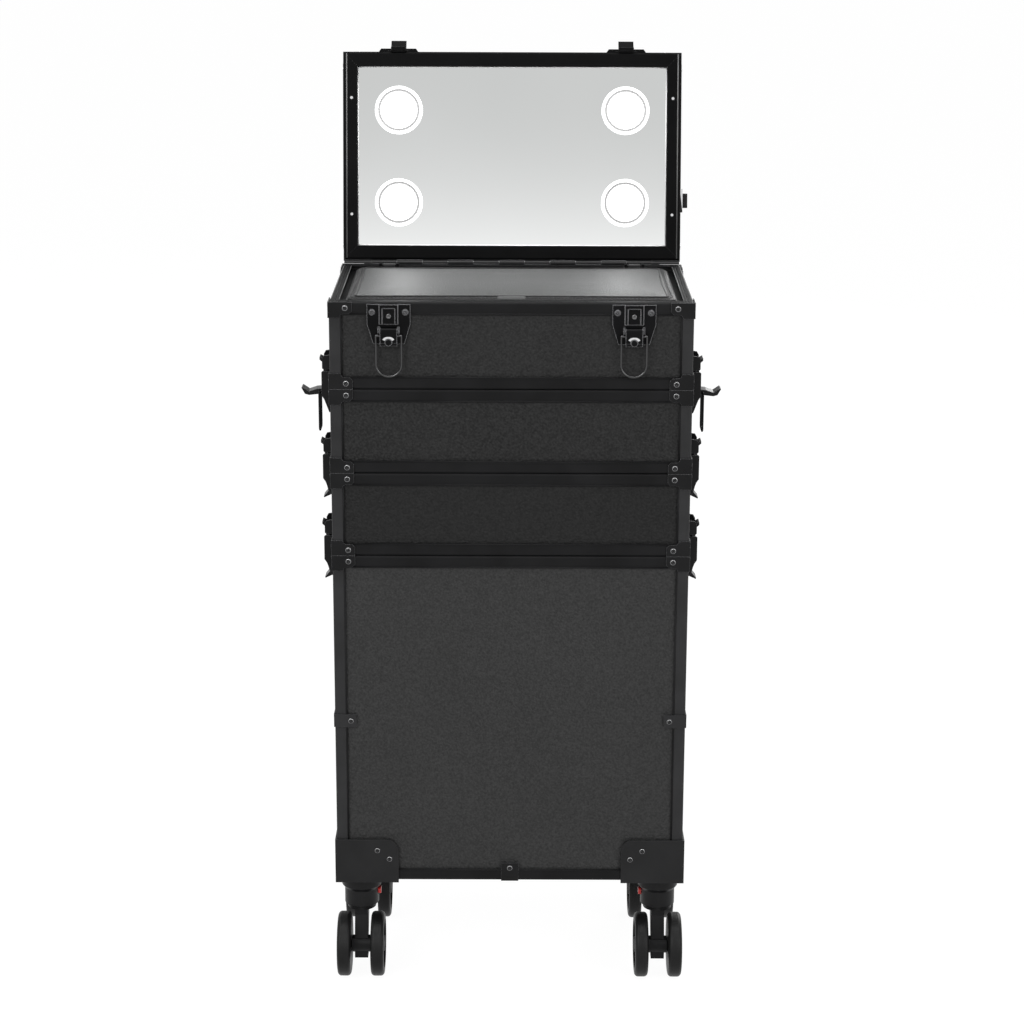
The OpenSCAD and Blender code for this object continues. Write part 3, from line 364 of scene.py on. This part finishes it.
def bright_rings(name, turn):
    node = nodes[name]
    to_square = turn.inverted() @ node.matrix_world
    for face in node.data.polygons:
        centre = to_square @ face.center
        out = to_square.to_3x3() @ face.normal
        past_x, past_y = abs(centre.x) - half_w, abs(centre.y) - half_d
        if max(past_x, past_y) > brace_thick + ring_proud:
            flat = abs(out.x if past_x > past_y else out.y) > 0.97
            face.material_index = 0 if flat else 1


fitting_coat = worn_finish_with_painted_highlight("fitting_black_plate", (0.003, 0.003, 0.0032), (0.006, 0.006, 0.0065),
                           rough=0.3, speck=2200, round_edge=0.0006, gloss=0.15, edge_highlight=0.45)
rivet_chrome = chromed("rivet_chrome", tint=0.32, rough=0.26)
lock_chrome = chromed("lock_chrome", tint=0.72, rough=0.16)
for section in ("bin", "lower_tray", "upper_tray", "vanity", "lid"):
    ring_chrome, turn = (lock_chrome, lid_swing) if section == "lid" else (rivet_chrome, Matrix.Identity(4))
    bright_small_solids(section + "_fittings", fitting_coat, ring_chrome, rivet_size)
    bright_rings(section + "_fittings", turn)
post_clips = nodes["bin_fittings"].data
post_clips.materials.append(post_coat)
bin_low, bin_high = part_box("bin_boards")
bin_middle = (bin_low[2] + bin_high[2]) / 2
for face in post_clips.polygons:
    if face.material_index == 0 and abs(face.center.z - bin_middle) < clip_reach:
        face.material_index = 2

# Corner guards: moulded black plastic cups that wrap the four bottom corners of the bin.
# They take the knocks of kerbs and stairs, so the mould gave them a fine spark texture.
# Ring rivets hold each one to the boards.
guard_plastic = worn_finish_with_painted_highlight("guard_plastic", (0.005, 0.005, 0.0053), (0.009, 0.009, 0.0095),
                            rough=0.42, speck=3200, round_edge=0.0012, gloss=0.2, edge_highlight=0.05)
finish_node("bin_corner_guards", guard_plastic)

# Side draw latches: pressed keepers, base plates, levers and wire bails, all black plated.
# Rivets hold the plates to the boards. The top pair stands open, so its bails hang beside the upper tray.
for part in ("stack_latch_keepers", "stack_latch_bases", "vanity_latch_keepers"):
    bright_small_solids(part, fitting_coat, rivet_chrome, rivet_size)
for level in ("top", "middle", "bottom"):
    for side in ("left", "right"):
        finish_node("lever_%s_%s" % (level, side), fitting_coat)
        finish_node("bail_%s_%s" % (level, side), fitting_coat)

# Latch cheeks: the folded-up sides of each base and keeper plate, in black plated sheet steel.
# The lever and the legs of the wire bail lie between them, so nothing catches on a closed latch.
cheek_in, cheek_out, cheek_foot = 0.0131, 0.0143, 0.0108
latch_low, latch_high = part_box("stack_latch_bases")
latch_y = (latch_low[1] + latch_high[1]) / 2
base_cheek = ((0, -0.033), (0.004, -0.033), (0.009, -0.0195), (0.0114, -0.016), (0.0114, 0.0082),
              (0.0102, 0.0094), (0.0007, 0.0094), (0.0007, -0.0018), (0, -0.0018))
keeper_cheek = ((0, 0.0112), (0.0094, 0.0112), (0.0106, 0.0124), (0.0106, 0.0216), (0.0086, 0.0252),
                (0.003, 0.026), (0, 0.026))
keeper_foot = ((0, 0.0112), (0.0012, 0.0112), (0.0012, 0.026), (0, 0.026))


def folded_cheeks(name, body, places):
    sheets = bmesh.new()
    for outline, near, far, joint in places:
        for sx in (-1, 1):
            for sy in (-1, 1):
                ends = [[sheets.verts.new((sx * (half_w + out), latch_y + sy * reach, joint + up))
                         for out, up in outline] for reach in (near, far)]
                for end in ends:
                    sheets.faces.new(end)
                bridge(sheets, *ends, smooth=False)
    new_piece(name, sheets, body, "black_fitting", fitting_coat)


tray_joints = [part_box(section + "_edges")[0][2] for section in ("lower_tray", "upper_tray")]
vanity_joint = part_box("vanity_edges")[0][2]
keeper_places = ((keeper_cheek, cheek_in, cheek_out), (keeper_foot, cheek_foot, cheek_in))
folded_cheeks("latch_cheeks", "bin_stack",
              [(base_cheek, cheek_in, cheek_out, joint) for joint in (*tray_joints, vanity_joint)]
              + [(*place, joint) for place in keeper_places for joint in tray_joints])
folded_cheeks("vanity_keeper_cheeks", "vanity", [(*place, vanity_joint) for place in keeper_places])

# Front latches: a black plate riveted below the rim, a lever with a keyed lock, and a wire bail.
# The lever and plate are black plated steel, and the lock's face is chromed brass.
lock_size = 0.0075
# The latch coat carries the widest and strongest painted edge highlight.
latch_coat = worn_finish_with_painted_highlight("latch_black_plate", (0.002, 0.002, 0.0022), (0.004, 0.004, 0.0045),
                         rough=0.22, speck=2200, round_edge=0.0014, gloss=0.07, edge_highlight=1)
bail_wire = chromed("bail_black_chrome", tint=0.07, rough=0.16)
dark_chrome = chromed("dark_rivet_chrome", tint=0.11, rough=0.22)
bright_small_solids("front_latch_plates", latch_coat, rivet_chrome, rivet_size)
for side in ("left", "right"):
    bright_small_solids("front_lever_" + side, latch_coat, lock_chrome, lock_size)
    finish_node("front_bail_" + side, bail_wire)

# Lock plates and middle rivets: a small chromed hasp arches over each key barrel,
# and one ring rivet in the channel holds the latch plate to the board behind it.
front_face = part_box("vanity_edges")[0][1]
front_latch_x = 0.121
barrel_out, barrel_drop = 0.0095, 0.039
hasp_inner, hasp_outer, hasp_thick, hasp_flare = 0.0041, 0.0058, 0.0012, 0.0009
hasp_from, hasp_sweep, hasp_steps = 28, 124, 12
seat_out, seat_drop, rivet_sides = 0.0024, 0.014, 28
rivet_profile = ((0.0008, 0.0003), (0.0010, 0.0009), (0.0017, 0.0011), (0.0025, 0.0008), (0.0028, 0))


def clock_hand(a, sides):
    return math.cos(a * math.tau / sides), math.sin(a * math.tau / sides)


for side, sx in (("left", -1), ("right", 1)):
    barrel = Vector((sx * front_latch_x, front_face - barrel_out, rim_level - barrel_drop))
    hasp_mesh = bmesh.new()
    rows = []
    for k in range(hasp_steps + 1):
        a = math.radians(hasp_from + hasp_sweep * k / hasp_steps)
        outer = hasp_outer + hasp_flare * abs(2 * k / hasp_steps - 1)
        profile = ((hasp_inner, 0), (outer, 0), (outer, hasp_thick), (hasp_inner, hasp_thick))
        rows.append([hasp_mesh.verts.new(barrel + Vector((r * math.cos(a), y, r * math.sin(a))))
                     for r, y in profile])
    for one, two in zip(rows, rows[1:]):
        bridge(hasp_mesh, one, two, smooth=False)
    for end in (rows[0], rows[-1]):
        hasp_mesh.faces.new(end)
    new_piece("lock_hasp_" + side, hasp_mesh, "front_lever_" + side, "black_fitting", lock_chrome)
    seat = Vector((sx * front_latch_x, front_face - seat_out, rim_level - seat_drop))
    rivet_mesh = bmesh.new()
    hands = [clock_hand(a, rivet_sides) for a in range(rivet_sides)]
    rings = [[rivet_mesh.verts.new(seat + Vector((radius * c, -rise, radius * s))) for c, s in hands]
             for radius, rise in rivet_profile]
    for end in (rings[0], rings[-1]):
        rivet_mesh.faces.new(end)
    for inner, outer in zip(rings, rings[1:]):
        bridge(rivet_mesh, inner, outer)
    new_piece("channel_rivet_" + side, rivet_mesh, "vanity", "black_fitting", dark_chrome)

# Casters: moulded nylon sockets and forks, with a red tab that lets the caster be pulled out.
# Each fork turns in its socket and carries a pair of spoked wheels with a smooth grey-black tread.
nylon = worn_finish_with_painted_highlight("caster_nylon", (0.004, 0.004, 0.0043), (0.007, 0.007, 0.0075),
                    rough=0.38, speck=1800, round_edge=0.0008, gloss=0.16, edge_highlight=0.06)
tread_rubber = worn_finish_with_painted_highlight("wheel_tread", (0.004, 0.004, 0.004), (0.008, 0.008, 0.008),
                           rough=0.46, speck=900, round_edge=0.0012, gloss=0.16, edge_highlight=0.04)
tab_red = worn_finish_with_painted_highlight("tab_red_plastic", (0.42, 0.012, 0.01), (0.52, 0.02, 0.016),
                      rough=0.34, speck=900, round_edge=0.0005, gloss=0.4, edge_highlight=0)
finish_node("caster_sockets", nylon)
for row in ("front", "back"):
    for side in ("left", "right"):
        finish_node("fork_%s_%s" % (row, side), nylon)
        finish_node("wheels_%s_%s" % (row, side), tread_rubber)
        finish_node("release_%s_%s" % (row, side), tab_red)

# Lid hinges, keepers, carry handle and lamp switch: black fittings on the lid and the case.
# The hinge knuckles interleave on a steel pin, and the handle folds flat on its two brackets.
# The board that stiffens the padded cover is moulded of the same nylon as the handle.
for part in ("hinge_case_leaves", "lid_hinge_leaves"):
    bright_small_solids(part, fitting_coat, rivet_chrome, rivet_size)
finish_node("lid_keepers", lid_coat)
finish_node("carry_handle", nylon)
finish_node("lamp_switch", nylon)
finish_node("cover_board", nylon)

# Mirror: silvered float glass bonded in the lid behind the rails.
# It stands in a thin white bead, and its silver is a little cool and uneven. Its colour grows paler towards
# the foot, which is a painted reflection.
mirror_silver = bpy.data.materials.new("mirror_silver")
mirror_silver.use_nodes = True
silver = mirror_silver.node_tree
silver_shader = silver.nodes["Principled BSDF"]
silver_shader.inputs["Metallic"].default_value = 1
silver_place = silver.nodes.new("ShaderNodeTexCoord")
silver_cloud = silver.nodes.new("ShaderNodeTexNoise")
silver_cloud.inputs["Scale"].default_value = 5
silver_cloud.inputs["Detail"].default_value = 2
silver.links.new(silver_place.outputs["Object"], silver_cloud.inputs["Vector"])
silver_axes = silver.nodes.new("ShaderNodeSeparateXYZ")
silver.links.new(silver_place.outputs["Object"], silver_axes.inputs["Vector"])
glass_low, glass_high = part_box("mirror_glass")
# Painted reflection: the colour of the glass grows paler from its top to its foot, mixed with the uneven
# cloud.
reflection_fall = silver.nodes.new("ShaderNodeMapRange")
reflection_fall.inputs["From Min"].default_value = glass_high[2]
reflection_fall.inputs["From Max"].default_value = glass_low[2]
silver.links.new(silver_axes.outputs["Z"], reflection_fall.inputs["Value"])
painted_reflection_foot = silver.nodes.new("ShaderNodeMath")
painted_reflection_foot.operation = "POWER"
painted_reflection_foot.inputs[1].default_value = 2.4
silver.links.new(reflection_fall.outputs["Result"], painted_reflection_foot.inputs[0])
silver_and_reflection = silver.nodes.new("ShaderNodeMath")
silver_and_reflection.operation = "MULTIPLY_ADD"
silver_and_reflection.inputs[1].default_value = 0.25
silver.links.new(silver_cloud.outputs["Fac"], silver_and_reflection.inputs[0])
silver.links.new(painted_reflection_foot.outputs["Value"], silver_and_reflection.inputs[2])
silver_reflection_tones = silver.nodes.new("ShaderNodeValToRGB")
silver_reflection_tones.color_ramp.elements[0].position = 0.05
silver_reflection_tones.color_ramp.elements[0].color = (0.565, 0.575, 0.57, 1)
silver_reflection_tones.color_ramp.elements[1].color = (0.84, 0.85, 0.845, 1)
silver.links.new(silver_and_reflection.outputs["Value"], silver_reflection_tones.inputs["Fac"])
silver.links.new(silver_reflection_tones.outputs["Color"], silver_shader.inputs["Base Color"])
silver_haze = silver.nodes.new("ShaderNodeMapRange")
silver_haze.inputs["To Min"].default_value = 0.03
silver_haze.inputs["To Max"].default_value = 0.07
silver.links.new(silver_cloud.outputs["Fac"], silver_haze.inputs["Value"])
silver.links.new(silver_haze.outputs["Result"], silver_shader.inputs["Roughness"])
finish_node("mirror_glass", mirror_silver)
bead_plastic = worn_finish_with_painted_highlight("mirror_bead_plastic", (0.94, 0.94, 0.94), (0.98, 0.98, 0.98),
                           rough=0.3, speck=900, round_edge=0.0002, gloss=0.5, edge_highlight=0)
bead_inset, bead_z, bead_radius = 0.0156, 0.0074, 0.0006
bead_x, bead_y = half_w - bead_inset, half_d - bead_inset
bead_runs = [((-bead_x, s * bead_y, bead_z), (bead_x, s * bead_y, bead_z)) for s in (-1, 1)]
bead_runs += [((s * bead_x, -bead_y, bead_z), (s * bead_x, bead_y, bead_z)) for s in (-1, 1)]
round_runs("mirror_bead", bead_runs, lid_swing, "lid", bead_radius, bead_plastic, "looking_glass")

# Lamps: four round frosted windows in the mirror, lit evenly from behind.
# Each has a clear grey line between its bright face and its bright outer ring.
lamp_glow = bpy.data.materials.new("lamp_frosted")
lamp_glow.use_nodes = True
glow = lamp_glow.node_tree
glow_shader = glow.nodes["Principled BSDF"]
glow_shader.inputs["Base Color"].default_value = (0.9, 0.9, 0.9, 1)
glow_shader.inputs["Roughness"].default_value = 0.3
glow_place = glow.nodes.new("ShaderNodeTexCoord")
glow_frost = glow.nodes.new("ShaderNodeTexNoise")
glow_frost.inputs["Scale"].default_value = 1200
glow.links.new(glow_place.outputs["Object"], glow_frost.inputs["Vector"])
glow_tones = glow.nodes.new("ShaderNodeValToRGB")
glow_tones.color_ramp.elements[0].color = (0.9, 0.92, 0.92, 1)
glow_tones.color_ramp.elements[1].color = (1, 1, 1, 1)
glow.links.new(glow_frost.outputs["Fac"], glow_tones.inputs["Fac"])
glow.links.new(glow_tones.outputs["Color"], glow_shader.inputs["Emission Color"])
glow_path = glow.nodes.new("ShaderNodeLightPath")
glow_power = glow.nodes.new("ShaderNodeMapRange")
glow_power.inputs["To Min"].default_value = 7
glow_power.inputs["To Max"].default_value = 1
glow.links.new(glow_path.outputs["Is Camera Ray"], glow_power.inputs["Value"])
glow.links.new(glow_power.outputs["Result"], glow_shader.inputs["Emission Strength"])
lamp_line = worn_finish_with_painted_highlight("lamp_grey_line", (0.4, 0.4, 0.4), (0.44, 0.44, 0.44),
                        rough=0.5, speck=900, round_edge=0.0002, gloss=0.1, edge_highlight=0)
lamp_half_x, lamp_half_y, lamp_seat, lamp_sides = 0.121, 0.049, 0.0078, 72
lamp_rings = ((0.0198, 0.0011), (0.0201, 0.0008), (0.0219, 0.0008), (0.0222, 0.0012),
              (0.0248, 0.0012), (0.0255, 0.0007), (0.0255, 0))
hands = [Vector((*clock_hand(a, lamp_sides), 0)) for a in range(lamp_sides)]
lamp_mesh = bmesh.new()
for sx in (-1, 1):
    for sy in (-1, 1):
        loops = []
        for radius, rise in lamp_rings:
            middle = Vector((sx * lamp_half_x, sy * lamp_half_y, lamp_seat - rise))
            loops.append([lamp_mesh.verts.new(lid_swing @ (middle + radius * hand)) for hand in hands])
        lamp_mesh.faces.new(loops[0])
        for k, (inner, outer) in enumerate(zip(loops, loops[1:])):
            for face in bridge(lamp_mesh, outer, inner):
                face.material_index = 1 if k in (0, 1, 2) else 0
lamp_windows = new_piece("lamp_windows", lamp_mesh, "lid", "lamp_lens", lamp_glow, lamp_line)
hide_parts("lamps")

# Padded cover: foam under dark silver leatherette on a stiff board, which lifts on two pins.
# The skin is sewn down inside a flat black flange, so the foam crowns from the seam and puckers at it.
pad_low_corner, pad_high_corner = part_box("cover_pad")
pad_mid_y = (pad_low_corner[1] + pad_high_corner[1]) / 2
pad_half_x = (pad_high_corner[0] - pad_low_corner[0]) / 2
pad_half_y = (pad_high_corner[1] - pad_low_corner[1]) / 2
pad_under, pad_top = pad_low_corner[2], pad_high_corner[2]
flange_width, flange_rise, edge_rise, drawn_in = 0.009, 0.0036, 0.0024, 0.0016
pad_corner, least_corner, corner_steps = 0.014, 0.003, 8
ring_insets = (0, 0.0015, 0.004, 0.0075, 0.009, 0.0102, 0.012, 0.0145, 0.018, 0.022, 0.027, 0.033,
               0.04, 0.048, 0.057, 0.066, 0.075, 0.083)
flat_half, swell_room, swell_limit, foam_steps = 0.008, 0.001, 0.0016, 20
under_lift, sewn_past, sewn_under, dye_short = 0.0001, 0.001, 0.002, 0.0004
cover_skin = leatherette("cover_leatherette", (0.028, 0.029, 0.029), (0.055, 0.057, 0.057),
                         grain=820, rough=0.36, sheen=0.05, gloss=0.27)
flange_skin = leatherette("flange_leatherette", (0.008, 0.008, 0.0083), (0.018, 0.018, 0.0185),
                          grain=620, rough=0.46, sheen=0.02, gloss=0.16)


def pad_loop(inset, count=56):
    points = []
    corner = max(pad_corner - inset, least_corner)
    hx, hy = pad_half_x - inset - corner, pad_half_y - inset - corner
    centres = [(sx * hx, pad_mid_y + sy * hy) for sx, sy in ((1, 1), (-1, 1), (-1, -1), (1, -1))]
    for k, (x, y) in enumerate(centres):
        for i in range(corner_steps + 1):
            a = math.radians(90 * k + 90 * i / corner_steps)
            points.append(Vector((x + corner * math.cos(a), y + corner * math.sin(a), 0)))
        outward = Vector((math.cos(a), math.sin(a), 0))
        start = points[-1].copy()
        end = Vector((*centres[(k + 1) % 4], 0)) + outward * corner
        for i in range(1, count):
            f = i / count
            points.append(start.lerp(end, f) - outward * drawn_in * math.sin(math.pi * f))
    return points


def pad_inset(point):
    qx = abs(point.x) - (pad_half_x - pad_corner)
    qy = abs(point.y - pad_mid_y) - (pad_half_y - pad_corner)
    return pad_corner - math.hypot(max(qx, 0), max(qy, 0)) - min(max(qx, qy), 0)


pad_mesh = bmesh.new()
crown_reach = pad_half_y - flat_half - flange_width
crown_rise = pad_top - swell_room - pad_under - flange_rise
pad_rings = []
for inset in ring_insets:
    f = min(max(inset - flange_width, 0) / crown_reach, 1)
    rise = flange_rise + crown_rise * (1 - (1 - f) ** 5) if inset else edge_rise
    pad_rings.append([pad_mesh.verts.new(p + Vector((0, 0, pad_under + rise))) for p in pad_loop(inset)])
under_ring = [pad_mesh.verts.new(Vector((v.co.x, v.co.y, pad_under + under_lift))) for v in pad_rings[0]]
for inner, outer in zip([under_ring] + pad_rings, pad_rings):
    bridge(pad_mesh, inner, outer)
pad_mesh.faces.new(pad_rings[-1]).smooth = True
pad_mesh.faces.new(list(reversed(under_ring)))
bmesh.ops.recalc_face_normals(pad_mesh, faces=pad_mesh.faces)
pad_data = bpy.data.meshes.new("cover_cushion")
pad_mesh.to_mesh(pad_data)
pad_mesh.free()
cover_cushion = bpy.data.objects.new("cover_cushion", pad_data)
bpy.context.scene.collection.objects.link(cover_cushion)
even_skin = cover_cushion.modifiers.new("even_skin", "REMESH")
even_skin.mode = "VOXEL"
even_skin.voxel_size = 0.0025
even_skin.use_smooth_shade = True
bpy.context.view_layer.update()
pad_data = bpy.data.meshes.new_from_object(
    cover_cushion.evaluated_get(bpy.context.evaluated_depsgraph_get()))
cover_cushion.modifiers.clear()
cover_cushion.data = pad_data
sewn = cover_cushion.vertex_groups.new(name="sewn")
held = [v.index for v in pad_data.vertices
        if pad_inset(v.co) < flange_width + sewn_past or v.co.z < pad_under + sewn_under]
sewn.add(held, 1, "REPLACE")
flat_skin = [v.co.copy() for v in pad_data.vertices]
foam = cover_cushion.modifiers.new("foam", "CLOTH")
foam.settings.vertex_group_mass = "sewn"
foam.settings.use_pressure = True
foam.settings.uniform_pressure_force = 4
foam.settings.tension_stiffness = 12
foam.settings.compression_stiffness = 12
foam.settings.effector_weights.gravity = 0
foam.point_cache.frame_end = foam_steps
for step in range(1, foam_steps + 1):
    bpy.context.scene.frame_set(step)
swollen = cover_cushion.evaluated_get(bpy.context.evaluated_depsgraph_get())
blown_skin = [v.co.copy() for v in swollen.data.vertices]
for point, start, end in zip(pad_data.vertices, flat_skin, blown_skin):
    move = end - start
    if move.length > swell_limit:
        move *= swell_limit / move.length
    point.co = start + move
    point.co.z = max(min(point.co.z, pad_top), pad_under)
cover_cushion.modifiers.clear()
bpy.context.scene.frame_set(1)
fine_skin = cover_cushion.modifiers.new("fine_skin", "SUBSURF")
fine_skin.levels = fine_skin.render_levels = 1
pad_data.materials.clear()
pad_data.materials.append(cover_skin)
pad_data.materials.append(flange_skin)
for face in pad_data.polygons:
    face.material_index = 1 if pad_inset(face.center) < flange_width - dye_short else 0
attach(cover_cushion, "cover")
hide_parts("cover_pad")

# Cover piping and stitching: a thin black cord in the seam between flange and crown,
# and a row of lock stitches along the middle of the flange.
thread = worn_finish_with_painted_highlight("flange_thread", (0.05, 0.05, 0.05), (0.09, 0.09, 0.09),
                     rough=0.6, speck=2600, round_edge=0.0002, gloss=0.2, edge_highlight=0)
piping_radius, piping_sides, piping_lift = 0.0011, 8, 0.0003
stitch_radius, stitch_sides, stitch_lift = 0.00032, 6, 0.0001
stitch_inset, stitch_count, shortest_stitch = 0.0045, 80, 0.0015
stitch_shape = ((0.14, 0.4), (0.26, 1), (0.74, 1), (0.86, 0.4))


def cord_ring(mesh, point, along, radius, sides):
    across = along.cross(Vector((0, 0, 1)))
    hands = [clock_hand(a, sides) for a in range(sides)]
    return [mesh.verts.new(point + across * radius * c + Vector((0, 0, radius * s))) for c, s in hands]


piping_mesh = bmesh.new()
flange_top = pad_under + flange_rise
seam = [p + Vector((0, 0, flange_top + piping_lift)) for p in pad_loop(flange_width)]
piping_rings = []
for k, point in enumerate(seam):
    along = (seam[(k + 1) % len(seam)] - seam[k - 1]).normalized()
    piping_rings.append(cord_ring(piping_mesh, point, along, piping_radius, piping_sides))
for ring, ahead in zip(piping_rings, piping_rings[1:] + piping_rings[:1]):
    bridge(piping_mesh, ring, ahead)
stitch_path = [p + Vector((0, 0, flange_top + stitch_lift)) for p in pad_loop(stitch_inset, stitch_count)]
for start, end in zip(stitch_path, stitch_path[1:] + stitch_path[:1]):
    run = end - start
    if run.length < shortest_stitch:
        continue
    along = run.normalized()
    ends = [cord_ring(piping_mesh, start + run * f, along, stitch_radius * scale, stitch_sides)
            for f, scale in stitch_shape]
    for one, two in zip(ends, ends[1:]):
        for face in bridge(piping_mesh, one, two):
            face.material_index = 1
new_piece("cover_piping", piping_mesh, "cover", "cover_skin", flange_skin, thread)

# Pull tab: a folded strip of the same leatherette, sewn to the front flange to lift the cover by.
# Its rounded free end lies on the start of the crown, so it follows the pad under it.
tab_low, tab_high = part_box("cover_tab")
tab_half, tab_thick, tab_tail = (tab_high[0] - tab_low[0]) / 2, 0.0009, 0.005
tab_gap, tab_roll, tab_long, tab_wide = 0.0001, 0.0003, 16, 24
taper_from, taper = 0.7, 0.3
pad_tree = BVHTree.FromPolygons([v.co for v in pad_data.vertices], [f.vertices for f in pad_data.polygons])
tab_mesh = bmesh.new()
tab_rows = []
for k in range(tab_long + 1):
    f = k / tab_long
    y = tab_low[1] + (tab_high[1] + tab_tail - tab_low[1]) * f
    half = tab_half * (1 - taper * (max(f - taper_from, 0) / (1 - taper_from)) ** 3)
    row = ([], [])
    for c in range(tab_wide + 1):
        across = 2 * c / tab_wide - 1
        x = half * across
        under = pad_tree.ray_cast(Vector((x, y, pad_top + 0.02)), Vector((0, 0, -1)))[0].z + tab_gap
        rolled = tab_roll * max(abs(across), abs(2 * f - 1)) ** 8
        row[0].append(tab_mesh.verts.new((x, y, under)))
        row[1].append(tab_mesh.verts.new((x, y, under + tab_thick - rolled)))
    tab_rows.append(row)
for one, two in zip(tab_rows, tab_rows[1:]):
    for top in (0, 1):
        for c in range(tab_wide):
            tab_mesh.faces.new((one[top][c], one[top][c + 1], two[top][c + 1], two[top][c])).smooth = True
    for c in (0, tab_wide):
        tab_mesh.faces.new((one[0][c], one[1][c], two[1][c], two[0][c]))
for row in (tab_rows[0], tab_rows[-1]):
    for c in range(tab_wide):
        tab_mesh.faces.new((row[0][c], row[0][c + 1], row[1][c + 1], row[1][c]))
pull_tab = new_piece("pull_tab", tab_mesh, "cover", "cover_skin", cover_skin)
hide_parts("cover_tab")

# Studio: a wide plain floor in matt white paint under four soft boxes, and a white surround.
# What looks straight at the surround, through glass or in a reflection, sees it at full white.
floor_half = 40
floor_mesh = bpy.data.meshes.new("floor")
floor_corners = [(x * floor_half, y * floor_half, 0) for x, y in ((-1, -1), (1, -1), (1, 1), (-1, 1))]
floor_mesh.from_pydata(floor_corners, [], [(0, 1, 2, 3)])
floor = bpy.data.objects.new("floor", floor_mesh)
bpy.context.scene.collection.objects.link(floor)
floor_paint = bpy.data.materials.new("floor_paint")
floor_paint.use_nodes = True
paint = floor_paint.node_tree
paint_shader = paint.nodes["Principled BSDF"]
paint_shader.inputs["Base Color"].default_value = (0.86, 0.86, 0.86, 1)
paint_shader.inputs["Roughness"].default_value = 0.9
paint_white = paint.nodes.new("ShaderNodeEmission")
paint_white.inputs["Strength"].default_value = 1.06
paint_path = paint.nodes.new("ShaderNodeLightPath")
paint_seen = paint.nodes.new("ShaderNodeMath")
paint_seen.operation = "MAXIMUM"
paint.links.new(paint_path.outputs["Is Camera Ray"], paint_seen.inputs[0])
paint.links.new(paint_path.outputs["Is Glossy Ray"], paint_seen.inputs[1])
paint_share = paint.nodes.new("ShaderNodeMath")
paint_share.operation = "MULTIPLY"
paint_share.inputs[1].default_value = 0.9
paint.links.new(paint_seen.outputs[0], paint_share.inputs[0])
paint_mix = paint.nodes.new("ShaderNodeMixShader")
paint.links.new(paint_share.outputs[0], paint_mix.inputs["Fac"])
paint.links.new(paint_shader.outputs[0], paint_mix.inputs[1])
paint.links.new(paint_white.outputs[0], paint_mix.inputs[2])
paint.links.new(paint_mix.outputs[0], paint.nodes["Material Output"].inputs["Surface"])
floor_mesh.materials.append(floor_paint)

surround = bpy.data.worlds.new("surround")
surround.use_nodes = True
bpy.context.scene.world = surround
sky = surround.node_tree
sky_light = sky.nodes["Background"]
sky_light.inputs["Color"].default_value = (1, 1, 1, 1)
sky_light.inputs["Strength"].default_value = 0.4
sky_white = sky.nodes.new("ShaderNodeBackground")
sky_white.inputs["Color"].default_value = (1, 1, 1, 1)
sky_path = sky.nodes.new("ShaderNodeLightPath")
sky_seen = sky.nodes.new("ShaderNodeMath")
sky_seen.operation = "MAXIMUM"
sky.links.new(sky_path.outputs["Is Camera Ray"], sky_seen.inputs[0])
sky.links.new(sky_path.outputs["Is Transmission Ray"], sky_seen.inputs[1])
sky_glossy = sky.nodes.new("ShaderNodeMath")
sky_glossy.operation = "MAXIMUM"
sky.links.new(sky_seen.outputs[0], sky_glossy.inputs[0])
sky.links.new(sky_path.outputs["Is Glossy Ray"], sky_glossy.inputs[1])
sky_mix = sky.nodes.new("ShaderNodeMixShader")
sky.links.new(sky_glossy.outputs[0], sky_mix.inputs["Fac"])
sky.links.new(sky_light.outputs[0], sky_mix.inputs[1])
sky.links.new(sky_white.outputs[0], sky_mix.inputs[2])
sky.links.new(sky_mix.outputs[0], sky.nodes["World Output"].inputs["Surface"])


def soft_box(name, place, aim, size, power):
    lamp = bpy.data.lights.new(name, "AREA")
    lamp.shape = "RECTANGLE"
    lamp.size, lamp.size_y = size
    lamp.energy = power
    box = bpy.data.objects.new(name, lamp)
    box.location = place
    box.rotation_euler = (Vector(aim) - Vector(place)).to_track_quat("-Z", "Y").to_euler()
    bpy.context.scene.collection.objects.link(box)


soft_box("key_box", (-1.6, -2.6, 2.2), (0, 0, 0.5), (1.6, 1.6), 60)
soft_box("fill_box", (2.0, -2.2, 1.6), (0, 0, 0.5), (1.6, 1.6), 34)
soft_box("top_box", (0, -0.2, 2.6), (0, 0, 0.7), (1.6, 1.2), 36)
soft_box("back_box", (1.5, 2.7, 1.7), (0, 0, 0.5), (1.6, 1.6), 44)

# Camera: a little above the rim, looking down at the front of the case.
# The lens is long and hardly shifted, so the views from other sides keep the whole case in the frame.
look_down, roll = 15.01, 0.19
camera_lens = bpy.data.cameras.new("camera")
camera_lens.sensor_width = 36
camera_lens.lens = 87.46
camera_lens.shift_y = -0.02
camera = bpy.data.objects.new("camera", camera_lens)
camera.location = (0.0011, -2.5205, rim_level + 0.4538)
camera.rotation_euler = (Matrix.Rotation(math.radians(90 - look_down), 4, "X")
                         @ Matrix.Rotation(math.radians(roll), 4, "Z")).to_euler()
bpy.context.scene.collection.objects.link(camera)
bpy.context.scene.camera = camera
bpy.context.scene.view_settings.view_transform = "Standard"
